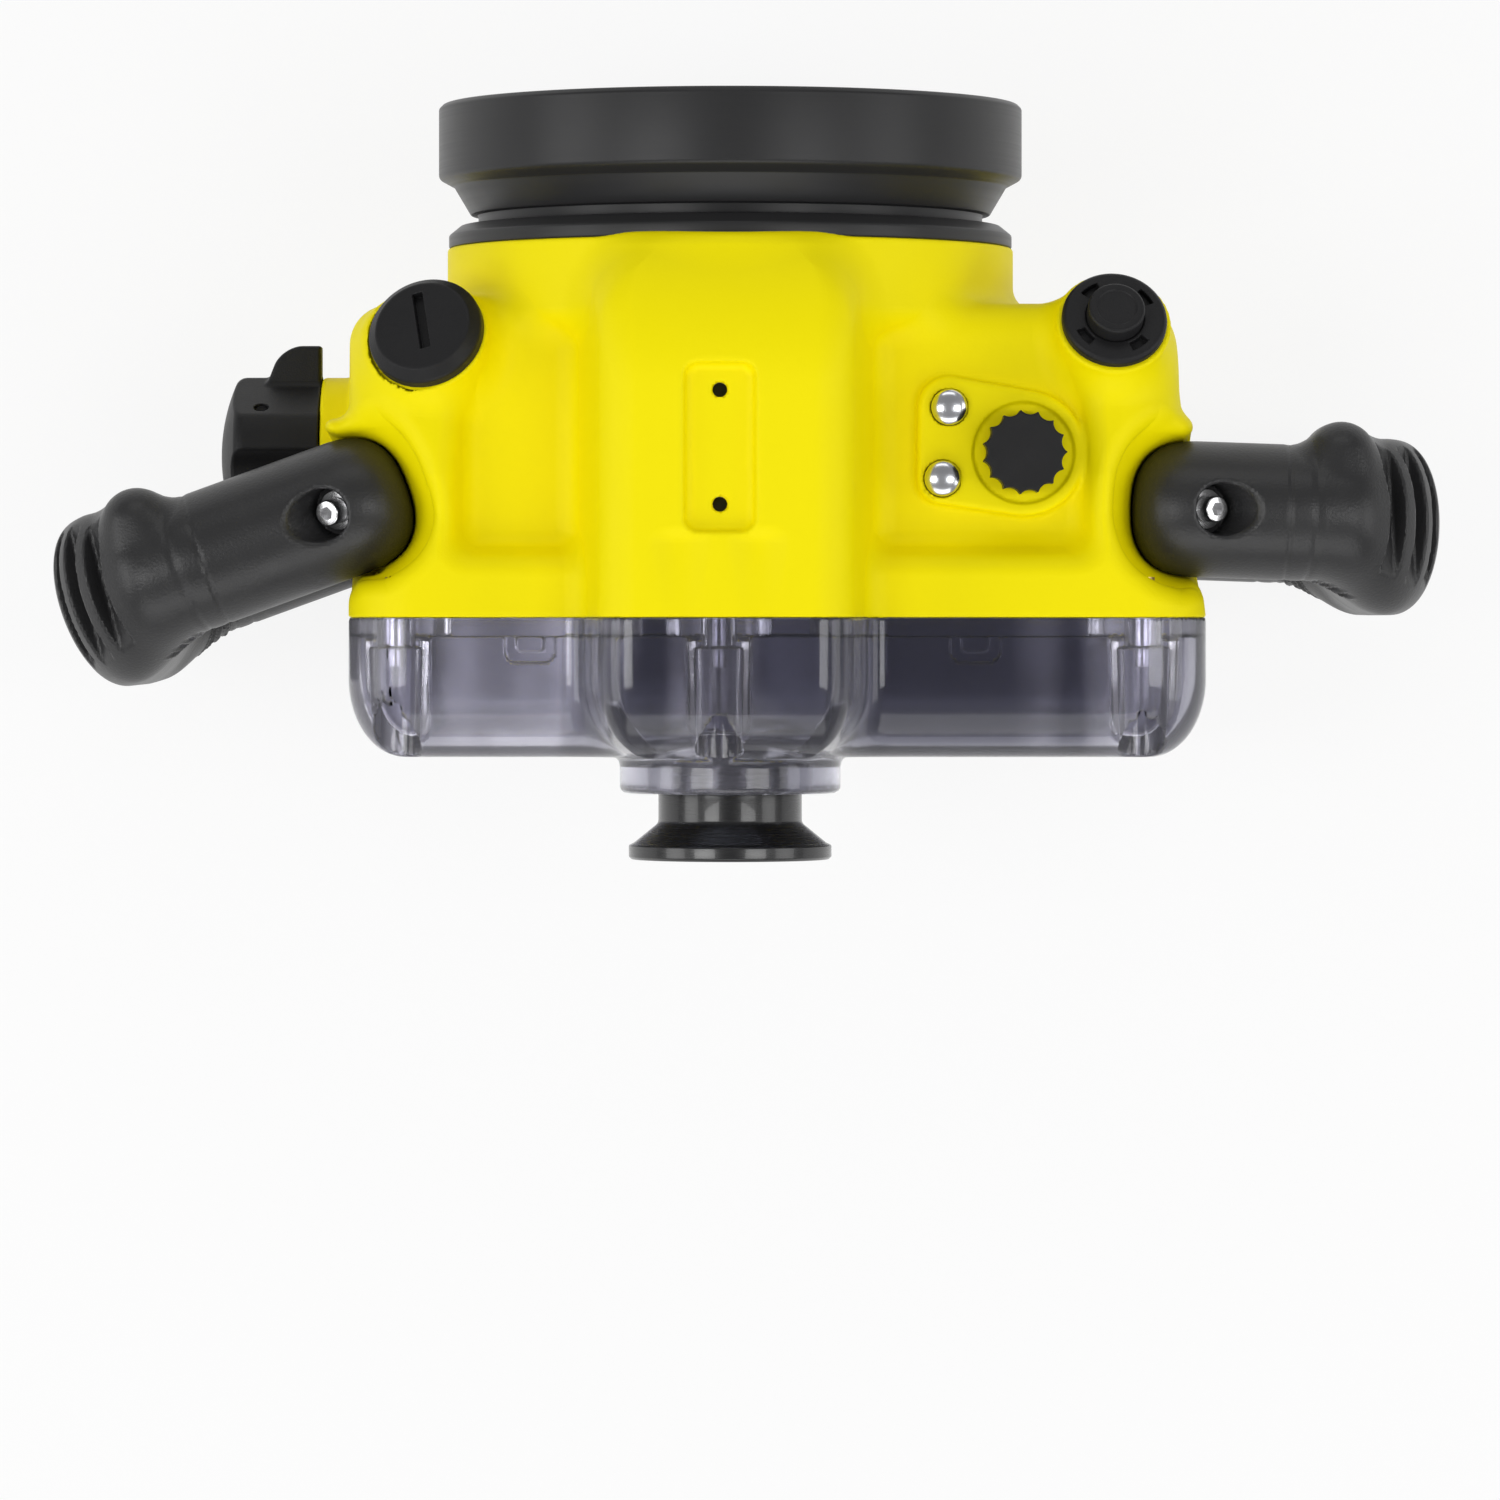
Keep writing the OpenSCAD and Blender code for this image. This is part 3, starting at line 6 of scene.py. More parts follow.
import bpy
import numpy as np
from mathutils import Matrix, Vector


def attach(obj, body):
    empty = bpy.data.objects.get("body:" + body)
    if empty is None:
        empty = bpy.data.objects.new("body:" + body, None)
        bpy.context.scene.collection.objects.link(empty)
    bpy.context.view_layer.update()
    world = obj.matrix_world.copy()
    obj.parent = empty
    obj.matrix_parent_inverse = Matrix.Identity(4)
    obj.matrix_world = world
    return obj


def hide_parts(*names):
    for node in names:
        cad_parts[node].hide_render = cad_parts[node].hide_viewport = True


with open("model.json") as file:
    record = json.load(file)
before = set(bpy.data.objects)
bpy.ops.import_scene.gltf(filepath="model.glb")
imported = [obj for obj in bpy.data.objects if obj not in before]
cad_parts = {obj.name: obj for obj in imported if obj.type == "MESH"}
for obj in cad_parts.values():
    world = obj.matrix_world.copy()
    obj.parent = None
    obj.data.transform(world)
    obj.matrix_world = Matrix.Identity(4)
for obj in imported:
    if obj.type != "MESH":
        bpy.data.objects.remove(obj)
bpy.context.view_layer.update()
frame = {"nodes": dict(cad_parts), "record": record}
nodes = frame["nodes"]
MM = 0.001


def tree_group(name, inputs, outputs):
    """A shader node group with named sockets, and its input and output nodes."""
    group = bpy.data.node_groups.new(name, "ShaderNodeTree")
    for title, kind, value in inputs:
        socket = group.interface.new_socket(name=title, in_out="INPUT", socket_type=kind)
        if value is not None:
            socket.default_value = value
    for title, kind in outputs:
        group.interface.new_socket(name=title, in_out="OUTPUT", socket_type=kind)
    return group, group.nodes.new("NodeGroupInput"), group.nodes.new("NodeGroupOutput")


def add(tree, kind, **settings):
    """A node of this kind; a setting named after an input socket fills it or links it."""
    node = tree.nodes.new(kind)
    for key, value in settings.items():
        if hasattr(node, key):
            setattr(node, key, value)
            continue
        socket = node.inputs[int(key[1:]) if key[0] == "_" else key.replace("_", " ")]
        if isinstance(value, bpy.types.NodeSocket):
            tree.links.new(value, socket)
        else:
            socket.default_value = value
    return node


def math_of(tree, operation, a, b=0.0):
    """One arithmetic step on two values or sockets."""
    return add(tree, "ShaderNodeMath", operation=operation, _0=a, _1=b).outputs[0]


def blend_of(tree, factor, a, b):
    """Colour a where the factor is 0 and b where it is 1."""
    node = tree.nodes.new("ShaderNodeMix")
    node.data_type = "RGBA"
    for socket, value in ((node.inputs[0], factor), (node.inputs[6], a), (node.inputs[7], b)):
        if isinstance(value, bpy.types.NodeSocket):
            tree.links.new(value, socket)
        else:
            socket.default_value = value
    return node.outputs[2]


def range_of(tree, value, low, high, out_low=0.0, out_high=1.0):
    """A value carried from one range to another, clamped."""
    return add(
        tree, "ShaderNodeMapRange",
        _0=value, _1=low, _2=high, _3=out_low, _4=out_high,
    ).outputs[0]


def make_moulding():
    """Moulded plastic: slow tone drift, a fine pebbled skin and faint rubs from handling.

    The drift and the rubs turn colour and roughness a little either way; the pebble is height.
    """
    group, given, made = tree_group(
        "moulded skin",
        [("Colour", "NodeSocketColor", (0.8, 0.8, 0.8, 1)), ("Drift", "NodeSocketFloat", 0.03),
         ("Roughness", "NodeSocketFloat", 0.4), ("Rubs", "NodeSocketFloat", 0.15),
         ("Pebble size", "NodeSocketFloat", 2500.0), ("Dust", "NodeSocketFloat", 0.0)],
        [("Colour", "NodeSocketColor"), ("Roughness", "NodeSocketFloat"), ("Height", "NodeSocketFloat")],
    )
    place = add(group, "ShaderNodeTexCoord").outputs["Object"]
    slow = add(group, "ShaderNodeTexNoise", Vector=place, Scale=16.0, Detail=3.0).outputs[0]
    cloud = add(group, "ShaderNodeTexNoise", Vector=place, Scale=95.0, Detail=4.0).outputs[0]
    pebble = add(group, "ShaderNodeTexNoise", Vector=place, Detail=2.0)
    group.links.new(given.outputs["Pebble size"], pebble.inputs["Scale"])
    streak_place = add(group, "ShaderNodeMapping", Vector=place, Scale=(1.0, 0.22, 0.6)).outputs[0]
    streak = add(group, "ShaderNodeTexNoise", Vector=streak_place, Scale=420.0, Detail=5.0).outputs[0]
    rub = range_of(group, streak, 0.60, 0.78)
    patch = range_of(group, cloud, 0.48, 0.66)
    worn = math_of(group, "MULTIPLY", rub, patch)
    tone = math_of(group, "MULTIPLY", math_of(group, "SUBTRACT", slow, 0.5), given.outputs["Drift"])
    value = math_of(group, "ADD", math_of(group, "MULTIPLY", tone, 2.0), 1.0)
    shaded = add(group, "ShaderNodeVectorMath", operation="SCALE", _0=given.outputs["Colour"])
    group.links.new(value, shaded.inputs["Scale"])
    dusty = blend_of(group, math_of(group, "MULTIPLY", patch, given.outputs["Dust"]),
                     shaded.outputs[0], (0.30, 0.30, 0.29, 1.0))
    rough = math_of(group, "ADD", given.outputs["Roughness"],
                    math_of(group, "MULTIPLY", math_of(group, "SUBTRACT", cloud, 0.5), 0.16))
    rough = math_of(group, "SUBTRACT", rough, math_of(group, "MULTIPLY", worn, given.outputs["Rubs"]))
    height = math_of(group, "SUBTRACT", pebble.outputs[0], math_of(group, "MULTIPLY", worn, 0.25))
    group.links.new(dusty, made.inputs["Colour"])
    group.links.new(rough, made.inputs["Roughness"])
    group.links.new(height, made.inputs["Height"])
    return group


def make_turning():
    """Turned or brushed surface: fine rings about an axis through a given point.

    Distance from the axis drives a one-dimensional noise; its crest gives height and gloss.
    """
    group, given, made = tree_group(
        "turning marks",
        [("Centre", "NodeSocketVector", (0, 0, 0)), ("Keep", "NodeSocketVector", (1, 0, 1)),
         ("Along", "NodeSocketVector", (0, 1, 0)), ("Pitch", "NodeSocketFloat", 2200.0),
         ("Colour", "NodeSocketColor", (0.5, 0.5, 0.5, 1)), ("Drift", "NodeSocketFloat", 0.06),
         ("Roughness", "NodeSocketFloat", 0.3), ("Spread", "NodeSocketFloat", 0.12)],
        [("Colour", "NodeSocketColor"), ("Roughness", "NodeSocketFloat"), ("Height", "NodeSocketFloat")],
    )
    place = add(group, "ShaderNodeTexCoord").outputs["Object"]
    from_axis = add(group, "ShaderNodeVectorMath", operation="SUBTRACT", _0=place,
                    _1=given.outputs["Centre"]).outputs[0]
    flat = add(group, "ShaderNodeVectorMath", operation="MULTIPLY", _0=from_axis,
               _1=given.outputs["Keep"]).outputs[0]
    reach = add(group, "ShaderNodeVectorMath", operation="LENGTH", _0=flat).outputs["Value"]
    down = add(group, "ShaderNodeVectorMath", operation="DOT_PRODUCT", _0=from_axis,
               _1=given.outputs["Along"]).outputs["Value"]
    across = math_of(group, "ADD", reach, math_of(group, "MULTIPLY", down, 0.83))
    rings = add(group, "ShaderNodeTexNoise", noise_dimensions="1D",
                W=math_of(group, "MULTIPLY", across, given.outputs["Pitch"]),
                Scale=1.0, Detail=3.0).outputs[0]
    cloud = add(group, "ShaderNodeTexNoise", Vector=place, Scale=110.0, Detail=4.0).outputs[0]
    both = math_of(group, "ADD", math_of(group, "SUBTRACT", rings, 0.5),
                   math_of(group, "MULTIPLY", math_of(group, "SUBTRACT", cloud, 0.5), 0.6))
    value = math_of(group, "ADD", 1.0, math_of(group, "MULTIPLY", both, given.outputs["Drift"]))
    shaded = add(group, "ShaderNodeVectorMath", operation="SCALE", _0=given.outputs["Colour"])
    group.links.new(value, shaded.inputs["Scale"])
    rough = math_of(group, "ADD", given.outputs["Roughness"],
                    math_of(group, "MULTIPLY", both, given.outputs["Spread"]))
    group.links.new(shaded.outputs[0], made.inputs["Colour"])
    group.links.new(rough, made.inputs["Roughness"])
    group.links.new(rings, made.inputs["Height"])
    return group


moulding = make_moulding()
turning = make_turning()


def finish_of(name, group, values, bump, depth, **sockets):
    """A material: one of the groups into a Principled shader, constants set on its own sockets."""
    material = bpy.data.materials.new(name)
    material.use_nodes = True
    tree = material.node_tree
    shader = tree.nodes["Principled BSDF"]
    skin = tree.nodes.new("ShaderNodeGroup")
    skin.node_tree = group
    for title, value in values.items():
        skin.inputs[title].default_value = value
    relief = add(tree, "ShaderNodeBump", Strength=bump, Distance=depth * MM, Height=skin.outputs["Height"])
    tree.links.new(skin.outputs["Colour"], shader.inputs["Base Color"])
    tree.links.new(skin.outputs["Roughness"], shader.inputs["Roughness"])
    tree.links.new(relief.outputs[0], shader.inputs["Normal"])
    for title, value in sockets.items():
        shader.inputs[title.replace("_", " ")].default_value = value
    return material


def moulded(name, colour, roughness, drift=0.03, rubs=0.12, pebble=2600.0, bump=0.12, dust=0.0, **sockets):
    """Plastic or rubber as it leaves the mould."""
    values = {"Colour": (*colour, 1), "Drift": drift, "Roughness": roughness, "Rubs": rubs,
              "Pebble size": pebble, "Dust": dust}
    return finish_of(name, moulding, values, bump, 0.25, **sockets)


def turned_finish(name, colour, roughness, centre, keep=(1, 0, 1), along=(0, 1, 0), pitch=2200.0,
                  drift=0.06, spread=0.12, bump=0.1, **sockets):
    """Metal or plastic cut on a lathe, about an axis through centre (mm)."""
    values = {"Colour": (*colour, 1), "Centre": [c * MM for c in centre], "Keep": keep, "Along": along,
              "Pitch": pitch, "Drift": drift, "Roughness": roughness, "Spread": spread}
    return finish_of(name, turning, values, bump, 0.06, **sockets)


LENS_Z = 72.0
finishes = {
    "shell": moulded("yellow shell", (0.92, 0.79, 0.0), 0.50, drift=0.02, rubs=0.10, pebble=1900.0,
                     bump=0.10, Specular_IOR_Level=0.10),
    "black_plastic": moulded("black control", (0.012, 0.012, 0.013), 0.46, drift=0.10, rubs=0.14,
                             pebble=3000.0, bump=0.25, dust=0.004, Specular_IOR_Level=0.24),
    "port_black": turned_finish("satin port", (0.021, 0.021, 0.022), 0.38, (0, 0, LENS_Z), pitch=1800.0,
                                drift=0.12, spread=0.10, bump=0.15, Specular_IOR_Level=0.30),
    "gloss_black": turned_finish("gloss eyepiece", (0.010, 0.010, 0.011), 0.27, (0, 0, LENS_Z + 38),
                                 pitch=1500.0, drift=0.10, spread=0.06, bump=0.05, Coat_Weight=0.3),
    "handle_rubber": moulded("handle rubber", (0.021, 0.021, 0.022), 0.39, drift=0.12, rubs=0.12,
                             pebble=1600.0, bump=0.30, dust=0.012, Specular_IOR_Level=0.42),
    "seal": moulded("seal rubber", (0.012, 0.012, 0.012), 0.45, drift=0.08, bump=0.10),
    "tray": moulded("anodised tray", (0.12, 0.12, 0.13), 0.42, drift=0.05, pebble=3600.0, bump=0.15,
                    Metallic=0.9),
    "stainless": turned_finish("bright steel", (0.78, 0.78, 0.79), 0.22, (0, 0, 0), keep=(1, 1, 0),
                               along=(0, 0, 1), pitch=2600.0, Metallic=1.0),
    "brass": turned_finish("turned brass", (0.65, 0.45, 0.18), 0.30, (0, 0, 0), keep=(1, 1, 0),
                           along=(0, 0, 1), pitch=2600.0, Metallic=1.0),
    "chrome": moulded("polished chrome", (0.70, 0.71, 0.75), 0.22, drift=0.01, rubs=0.03, pebble=900.0,
                      bump=0.01, Metallic=1.0),
}


def clear_finish(name, colour, roughness, ior, bump, clarity=1.0):
    """Clear moulding or coated glass: tint drifts slightly and the skin is faintly wavy."""
    material = finish_of(name, moulding,
                         {"Colour": (*colour, 1), "Drift": 0.01, "Roughness": roughness, "Rubs": 0.02,
                          "Pebble size": 160.0, "Dust": 0.0}, bump, 0.4)
    shader = material.node_tree.nodes["Principled BSDF"]
    shader.inputs["Transmission Weight"].default_value = clarity
    shader.inputs["IOR"].default_value = ior
    return material


# Painted shade in the cover: the middle of its dark band of painted shade, to one side of the middle, and
# where the band fades (m); then its colours: the painted shade, the cover's own light tint, and the painted
# sheen of its edges
SHADE_BAND_FROM_MIDDLE, SHADE_BAND_FADE = 0.046, (0.016, 0.040)
PAINTED_SHADE_COLOUR, SMOKE_LIGHT, PAINTED_EDGE_SHEEN = (0.13, 0.13, 0.18, 1), (0.66, 0.65, 0.75, 1), (0.93, 0.93, 0.99, 1)


def smoky_cover_painted_shade_and_sheen():
    """Clear moulding: painted shade in a dark band beside the middle and in streaks elsewhere, over its own
    light tint, and a pale painted sheen where it is seen edge-on.
    """
    material = clear_finish("smoky clear cover, painted shade and sheen", (0.66, 0.65, 0.72), 0.13, 1.42, 0.05, 0.90)
    tree = material.node_tree
    place = add(tree, "ShaderNodeTexCoord").outputs["Object"]
    drawn = add(tree, "ShaderNodeMapping", Vector=place, Scale=(1.0, 0.2, 0.1)).outputs[0]
    cloud = add(tree, "ShaderNodeTexNoise", Vector=drawn, Scale=42.0, Detail=2.0).outputs[0]
    across = add(tree, "ShaderNodeSeparateXYZ", Vector=place).outputs["X"]
    # Painted shade: a dark band of painted shade across the cover, beside the middle, fading out sideways;
    # elsewhere the noise streaks it with painted shade
    away = math_of(tree, "ABSOLUTE", math_of(tree, "ADD", across, SHADE_BAND_FROM_MIDDLE), 0.0)
    clear = range_of(tree, away, *SHADE_BAND_FADE)
    share = math_of(tree, "MULTIPLY", range_of(tree, cloud, 0.42, 0.60), clear)
    tint_and_painted_shade = blend_of(tree, share, PAINTED_SHADE_COLOUR, SMOKE_LIGHT)
    # Painted sheen: the colour turns pale where the cover is seen edge-on
    edge = add(tree, "ShaderNodeLayerWeight", Blend=0.30).outputs["Facing"]
    colour = blend_of(tree, edge, tint_and_painted_shade, PAINTED_EDGE_SHEEN)
    tree.links.new(colour, tree.nodes["Principled BSDF"].inputs["Base Color"])
    return material


finishes["clear_cover"] = smoky_cover_painted_shade_and_sheen()
finishes["window"] = clear_finish("coated window", (0.80, 0.88, 0.90), 0.02, 1.5, 0.01)


def dress(obj, material):
    """The piece wears one material in its first slot."""
    if obj.material_slots:
        for place in obj.material_slots:
            place.material = material
    else:
        obj.data.materials.append(material)


for part in frame["record"]["subparts"]:
    dress(nodes[part["node"]], finishes[part["material_slot"]])


# Solids as fields: a function of x, y and z in millimetres, negative inside, about the distance
# to the surface in value. Each is worked out for whole arrays at once.

def meet(a, b, r=0.0):
    """What is inside both: the larger value, its edge rounded to radius r."""
    if r == 0:
        return np.maximum(a, b)
    return np.minimum(np.maximum(a, b), -r) + np.hypot(np.maximum(a + r, 0), np.maximum(b + r, 0))


def join(a, b, r=0.0):
    """What is inside either: the smaller value, the corner between them filled to radius r."""
    if r == 0:
        return np.minimum(a, b)
    return np.maximum(np.minimum(a, b), r) - np.hypot(np.maximum(r - a, 0), np.maximum(r - b, 0))


def cut(a, b, r=0.0):
    """a without b, the edge left round the opening rounded to radius r."""
    return meet(a, -b, r)


def band(u, low, high):
    """Negative between low and high."""
    return np.maximum(low - u, u - high)


def frame_of(lean_x=0.0, lean_y=0.0, turn_z=0.0):
    """Turn about x, then y, then z, in degrees, as the rows of a 3 by 3 matrix."""
    a, b, c = (math.radians(v) for v in (lean_x, lean_y, turn_z))
    about_x = np.array([[1, 0, 0], [0, math.cos(a), -math.sin(a)], [0, math.sin(a), math.cos(a)]])
    about_y = np.array([[math.cos(b), 0, math.sin(b)], [0, 1, 0], [-math.sin(b), 0, math.cos(b)]])
    about_z = np.array([[math.cos(c), -math.sin(c), 0], [math.sin(c), math.cos(c), 0], [0, 0, 1]])
    return (about_z @ about_y @ about_x).tolist()


def into(place, x, y, z):
    """Row coordinates carried into a local frame, place = (turn, origin)."""
    turn, origin = place
    x, y, z = x - origin[0], y - origin[1], z - origin[2]
    return [turn[0][k] * x + turn[1][k] * y + turn[2][k] * z for k in range(3)]


def surface_of(field, low, high, step):
    """Points and quads of the surface where the field is zero.

    The field is sampled on a grid. Every grid edge whose ends differ in sign gives a crossing and
    one quad between the four cells round it; a cell's point is the mean of its crossings, and is
    then stepped down the field's slope on to the surface.
    """
    axes = [np.arange(a, b + step, step, dtype=np.float32) for a, b in zip(low, high)]
    sparse = np.meshgrid(*axes, indexing="ij", sparse=True)
    value = np.asarray(field(*sparse), dtype=np.float32)
    cells = np.array(value.shape) - 1
    stride = np.array([cells[1] * cells[2], cells[2], 1])
    crossings, owners, quads = [], [], []
    for d in range(3):
        e, g = (d + 1) % 3, (d + 2) % 3
        near = np.moveaxis(value, d, 0)[:-1]
        far = np.moveaxis(value, d, 0)[1:]
        spot = np.nonzero((near < 0) != (far < 0))
        a, b = near[spot], far[spot]
        others = [k for k in range(3) if k != d]
        index = np.empty((len(a), 3), dtype=np.int64)
        index[:, d] = spot[0]
        index[:, others[0]] = spot[1]
        index[:, others[1]] = spot[2]
        point = np.stack([axes[k][index[:, k]] for k in range(3)], axis=1)
        point[:, d] += step * a / (a - b)
        corner = (index * stride).sum(axis=1)
        ring = np.stack([corner - stride[e] - stride[g], corner - stride[g], corner, corner - stride[e]],
                        axis=1)
        rising = (a < 0)[:, None]
        quads.append(np.where(rising, ring, ring[:, ::-1]))
        crossings.append(np.repeat(point, 4, axis=0))
        owners.append(ring.reshape(-1))
    crossings = np.concatenate(crossings)
    names, owner = np.unique(np.concatenate(owners), return_inverse=True)
    count = np.bincount(owner)
    points = np.stack([np.bincount(owner, weights=crossings[:, k]) / count for k in range(3)], axis=1)
    faces = np.searchsorted(names, np.concatenate(quads))
    return settle(field, points, step, 3), faces


def slope(field, points, h=0.05):
    """Gradient of the field at the points, by differences."""
    x, y, z = points.T
    return np.stack([
        field(x + h, y, z) - field(x - h, y, z),
        field(x, y + h, z) - field(x, y - h, z),
        field(x, y, z + h) - field(x, y, z - h),
    ], axis=1) / (2 * h)


def settle(field, points, step, rounds):
    """Points moved down the field's slope until they lie on the surface."""
    for _ in range(rounds):
        grad = slope(field, points)
        size = np.maximum((grad * grad).sum(axis=1), 0.05)
        move = field(*points.T) / size
        shift = -grad * move[:, None]
        length = np.linalg.norm(shift, axis=1)
        shift *= np.minimum(1, 0.5 * step / np.maximum(length, 1e-9))[:, None]
        points = points + shift
    return points


def new_object(name, points, faces, body, material, replaced=()):
    """A piece from points in millimetres and faces of equal length, riding on its body."""
    mesh = bpy.data.meshes.new(name)
    mesh.vertices.add(len(points))
    mesh.vertices.foreach_set("co", (np.asarray(points, dtype=np.float64) * MM).astype(np.float32).ravel())
    size = faces.shape[1]
    mesh.loops.add(faces.size)
    mesh.loops.foreach_set("vertex_index", faces.astype(np.int32).ravel())
    mesh.polygons.add(len(faces))
    mesh.polygons.foreach_set("loop_start", np.arange(0, faces.size, size, dtype=np.int32))
    mesh.polygons.foreach_set("loop_total", np.full(len(faces), size, dtype=np.int32))
    mesh.polygons.foreach_set("use_smooth", np.ones(len(faces), dtype=bool))
    mesh.update(calc_edges=True)
    mesh.validate()
    obj = bpy.data.objects.new(name, mesh)
    bpy.context.scene.collection.objects.link(obj)
    obj.data.materials.append(finishes[material])
    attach(obj, body)
    if replaced:
        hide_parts(*replaced)
    return obj


def skin(name, field, low, high, step, body, material, replaced=(), budget=190000):
    """A moulded piece: the field's surface, thinned to the budget, shaded by the field's slope."""
    points, faces = surface_of(field, low, high, step)
    triangles = 2 * len(faces)
    if triangles > budget:
        mesh = bpy.data.meshes.new("dense")
        mesh.from_pydata(points.tolist(), [], faces.tolist())
        dense = bpy.data.objects.new("dense", mesh)
        bpy.context.scene.collection.objects.link(dense)
        thin = dense.modifiers.new("thin", "DECIMATE")
        thin.ratio = budget / triangles
        thin.use_collapse_triangulate = True
        out = dense.evaluated_get(bpy.context.evaluated_depsgraph_get()).to_mesh()
        count = len(out.vertices)
        flat = np.empty(count * 3, dtype=np.float32)
        out.vertices.foreach_get("co", flat)
        points = flat.reshape(-1, 3).astype(np.float64)
        out.calc_loop_triangles()
        flat = np.empty(len(out.loop_triangles) * 3, dtype=np.int32)
        out.loop_triangles.foreach_get("vertices", flat)
        faces = flat.reshape(-1, 3)
        bpy.data.objects.remove(dense)
        bpy.data.meshes.remove(mesh)
        points = settle(field, points, step, 1)
    obj = new_object(name, points, faces, body, material, replaced)
    shade(obj, field)
    return obj


def shade(obj, field, inward=0.3):
    """Corner normals from the field's slope, read a little way in from each corner of each face."""
    mesh = obj.data
    co = np.empty(len(mesh.vertices) * 3, dtype=np.float32)
    mesh.vertices.foreach_get("co", co)
    co = co.reshape(-1, 3).astype(np.float64) / MM
    corner = np.empty(len(mesh.loops), dtype=np.int32)
    mesh.loops.foreach_get("vertex_index", corner)
    total = np.empty(len(mesh.polygons), dtype=np.int32)
    mesh.polygons.foreach_get("loop_total", total)
    face = np.repeat(np.arange(len(total)), total)
    centre = np.stack([np.bincount(face, weights=co[corner, k]) / total for k in range(3)], axis=1)
    toward = centre[face] - co[corner]
    length = np.maximum(np.linalg.norm(toward, axis=1), 1e-9)
    probe = co[corner] + toward * np.minimum(inward / length, 0.6)[:, None]
    grad = slope(field, probe)
    grad /= np.maximum(np.linalg.norm(grad, axis=1), 1e-9)[:, None]
    mesh.normals_split_custom_set(grad.tolist())


# Sizes of the housing in millimetres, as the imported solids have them.
SEAM_Y, FRONT_Y, NECK_Y = 27.0, -43.0, -57.0
SHOULDER_Z, RIM_Z, HUMP_Z = 118.0, 126.0, 147.0
MOUND_Z = 121.5
BODY_LEFT, BODY_RIGHT, TAPER = 85.0, 106.0, 8.0
NECK_R, EDGE_R, WALL = 64.4, 15.0, 5.0
HUMP_X = 0.9
SCREWS = [(x, z) for x, top in ((73.5, 118.8), (2.4, 139.8), (-91.2, 118.8)) for z in (top, 7.2)]
FRONT_BUTTON, REAR_BUTTON, DIAL = (-48.5, -19.6), (-47.0, -3.8), (-65.0, -9.5)
ZOOM = (frame_of(lean_y=90), (93.1, -9.7, LENS_Z))
SHUTTER = (frame_of(29, -4), (-85.0, -38.4, 121.0))
PLUG = (frame_of(26, 16), (66.9, -35.4, 120.0))
RIGHT_ARM = (frame_of(turn_z=178), (-104.9, 2.8, 107.0))
LEFT_ARM = (frame_of(turn_z=20), (86.5, 2.8, 107.0))
ARM_R, ARM_DROP = 15.2, 85.0
# Upright wall of the room round an arm: its radius and its square, how far it opens, and how much
# less towards the rear
CUP_R, CUP_SQUARE, CUP_DEEP, CUP_REAR = 15.6, 243.4, 4.6, 2.0


def body_outline(x, z, right=BODY_RIGHT, top=RIM_Z, r=EDGE_R):
    """Rounded rectangle of the body's section; right and top may change with y."""
    middle = (BODY_LEFT - right) / 2
    half = (BODY_LEFT + right) / 2
    return meet(np.abs(x - middle) - half, np.maximum(-z, z - top), r)


def hump_outline(x, z, half=28.0, top=HUMP_Z, r=7.0):
    """Section of the prism hump: sides that spread downwards, a level top, rounded edges."""
    spread = 0.24
    side = (np.abs(x - HUMP_X) - (half + 5.5 - (z - SHOULDER_Z) * spread)) / math.hypot(1, spread)
    return meet(meet(side, z - top, r), 40.0 - z)


def shoulder_pocket(x, y, z, inner, outer):
    """Cutter for a sunken shoulder between |x| inner and outer: a level floor, and rear and
    outer walls that lean back by 5 in 9; its corners are rounded to 4."""
    lean = (z - SHOULDER_Z) * 0.55
    rear = (y - 10.0 - lean) * 0.876
    side = (x - outer - lean) * 0.876
    return meet(meet(rear, side, 4.0), np.maximum(SHOULDER_Z - z, inner - x), 2.6)


def neck_solid(x, y, z):
    """Round neck of the port about the lens axis, its rear end sunk softly into the body."""
    reach = np.hypot(x, z - LENS_Z)
    return meet(meet(reach - NECK_R, NECK_Y - y, 0.8), y + 37.0, 5.0)


def hump_solid(x, y, z):
    """Hump along Y: its front falls from its top to the neck's crest and draws in a little."""
    fall = ((z - 146.0) - (y + 42.0) * 0.667) / math.hypot(1, 0.667)
    half = 28.0 - 6.0 * np.clip((-40.0 - y) / 17.0, 0, 1) ** 2
    return meet(meet(hump_outline(x, z, half), fall, 9.0), NECK_Y + 0.6 - y, 1.5)


def corner_boss(place, r, x, y, z):
    """Leaning round boss with a thin lip at its top, slightly wider below."""
    u, v, w = into(place, x, y, z)
    reach = np.hypot(u, v)
    cone = (reach - r + (w + 2.0) / 24.0) * 0.999
    return meet(meet(cone, w, 0.9), -26.0 - w)


def uneven_capsule(x, y, a, ra, b, rb):
    """Plan of two circles and the straight tangents between them."""
    dx, dy = b[0] - a[0], b[1] - a[1]
    length = math.hypot(dx, dy)
    ux, uy = dx / length, dy / length
    along = (x - a[0]) * ux + (y - a[1]) * uy
    across = np.abs((x - a[0]) * -uy + (y - a[1]) * ux)
    k = (ra - rb) / length
    q = math.sqrt(1 - k * k)
    turn = along * q - across * k
    first = np.hypot(across, along) - ra
    second = np.hypot(across, along - length) - rb
    side = across * q + along * k - ra
    return np.where(turn < 0, first, np.where(turn > length * q, second, side))


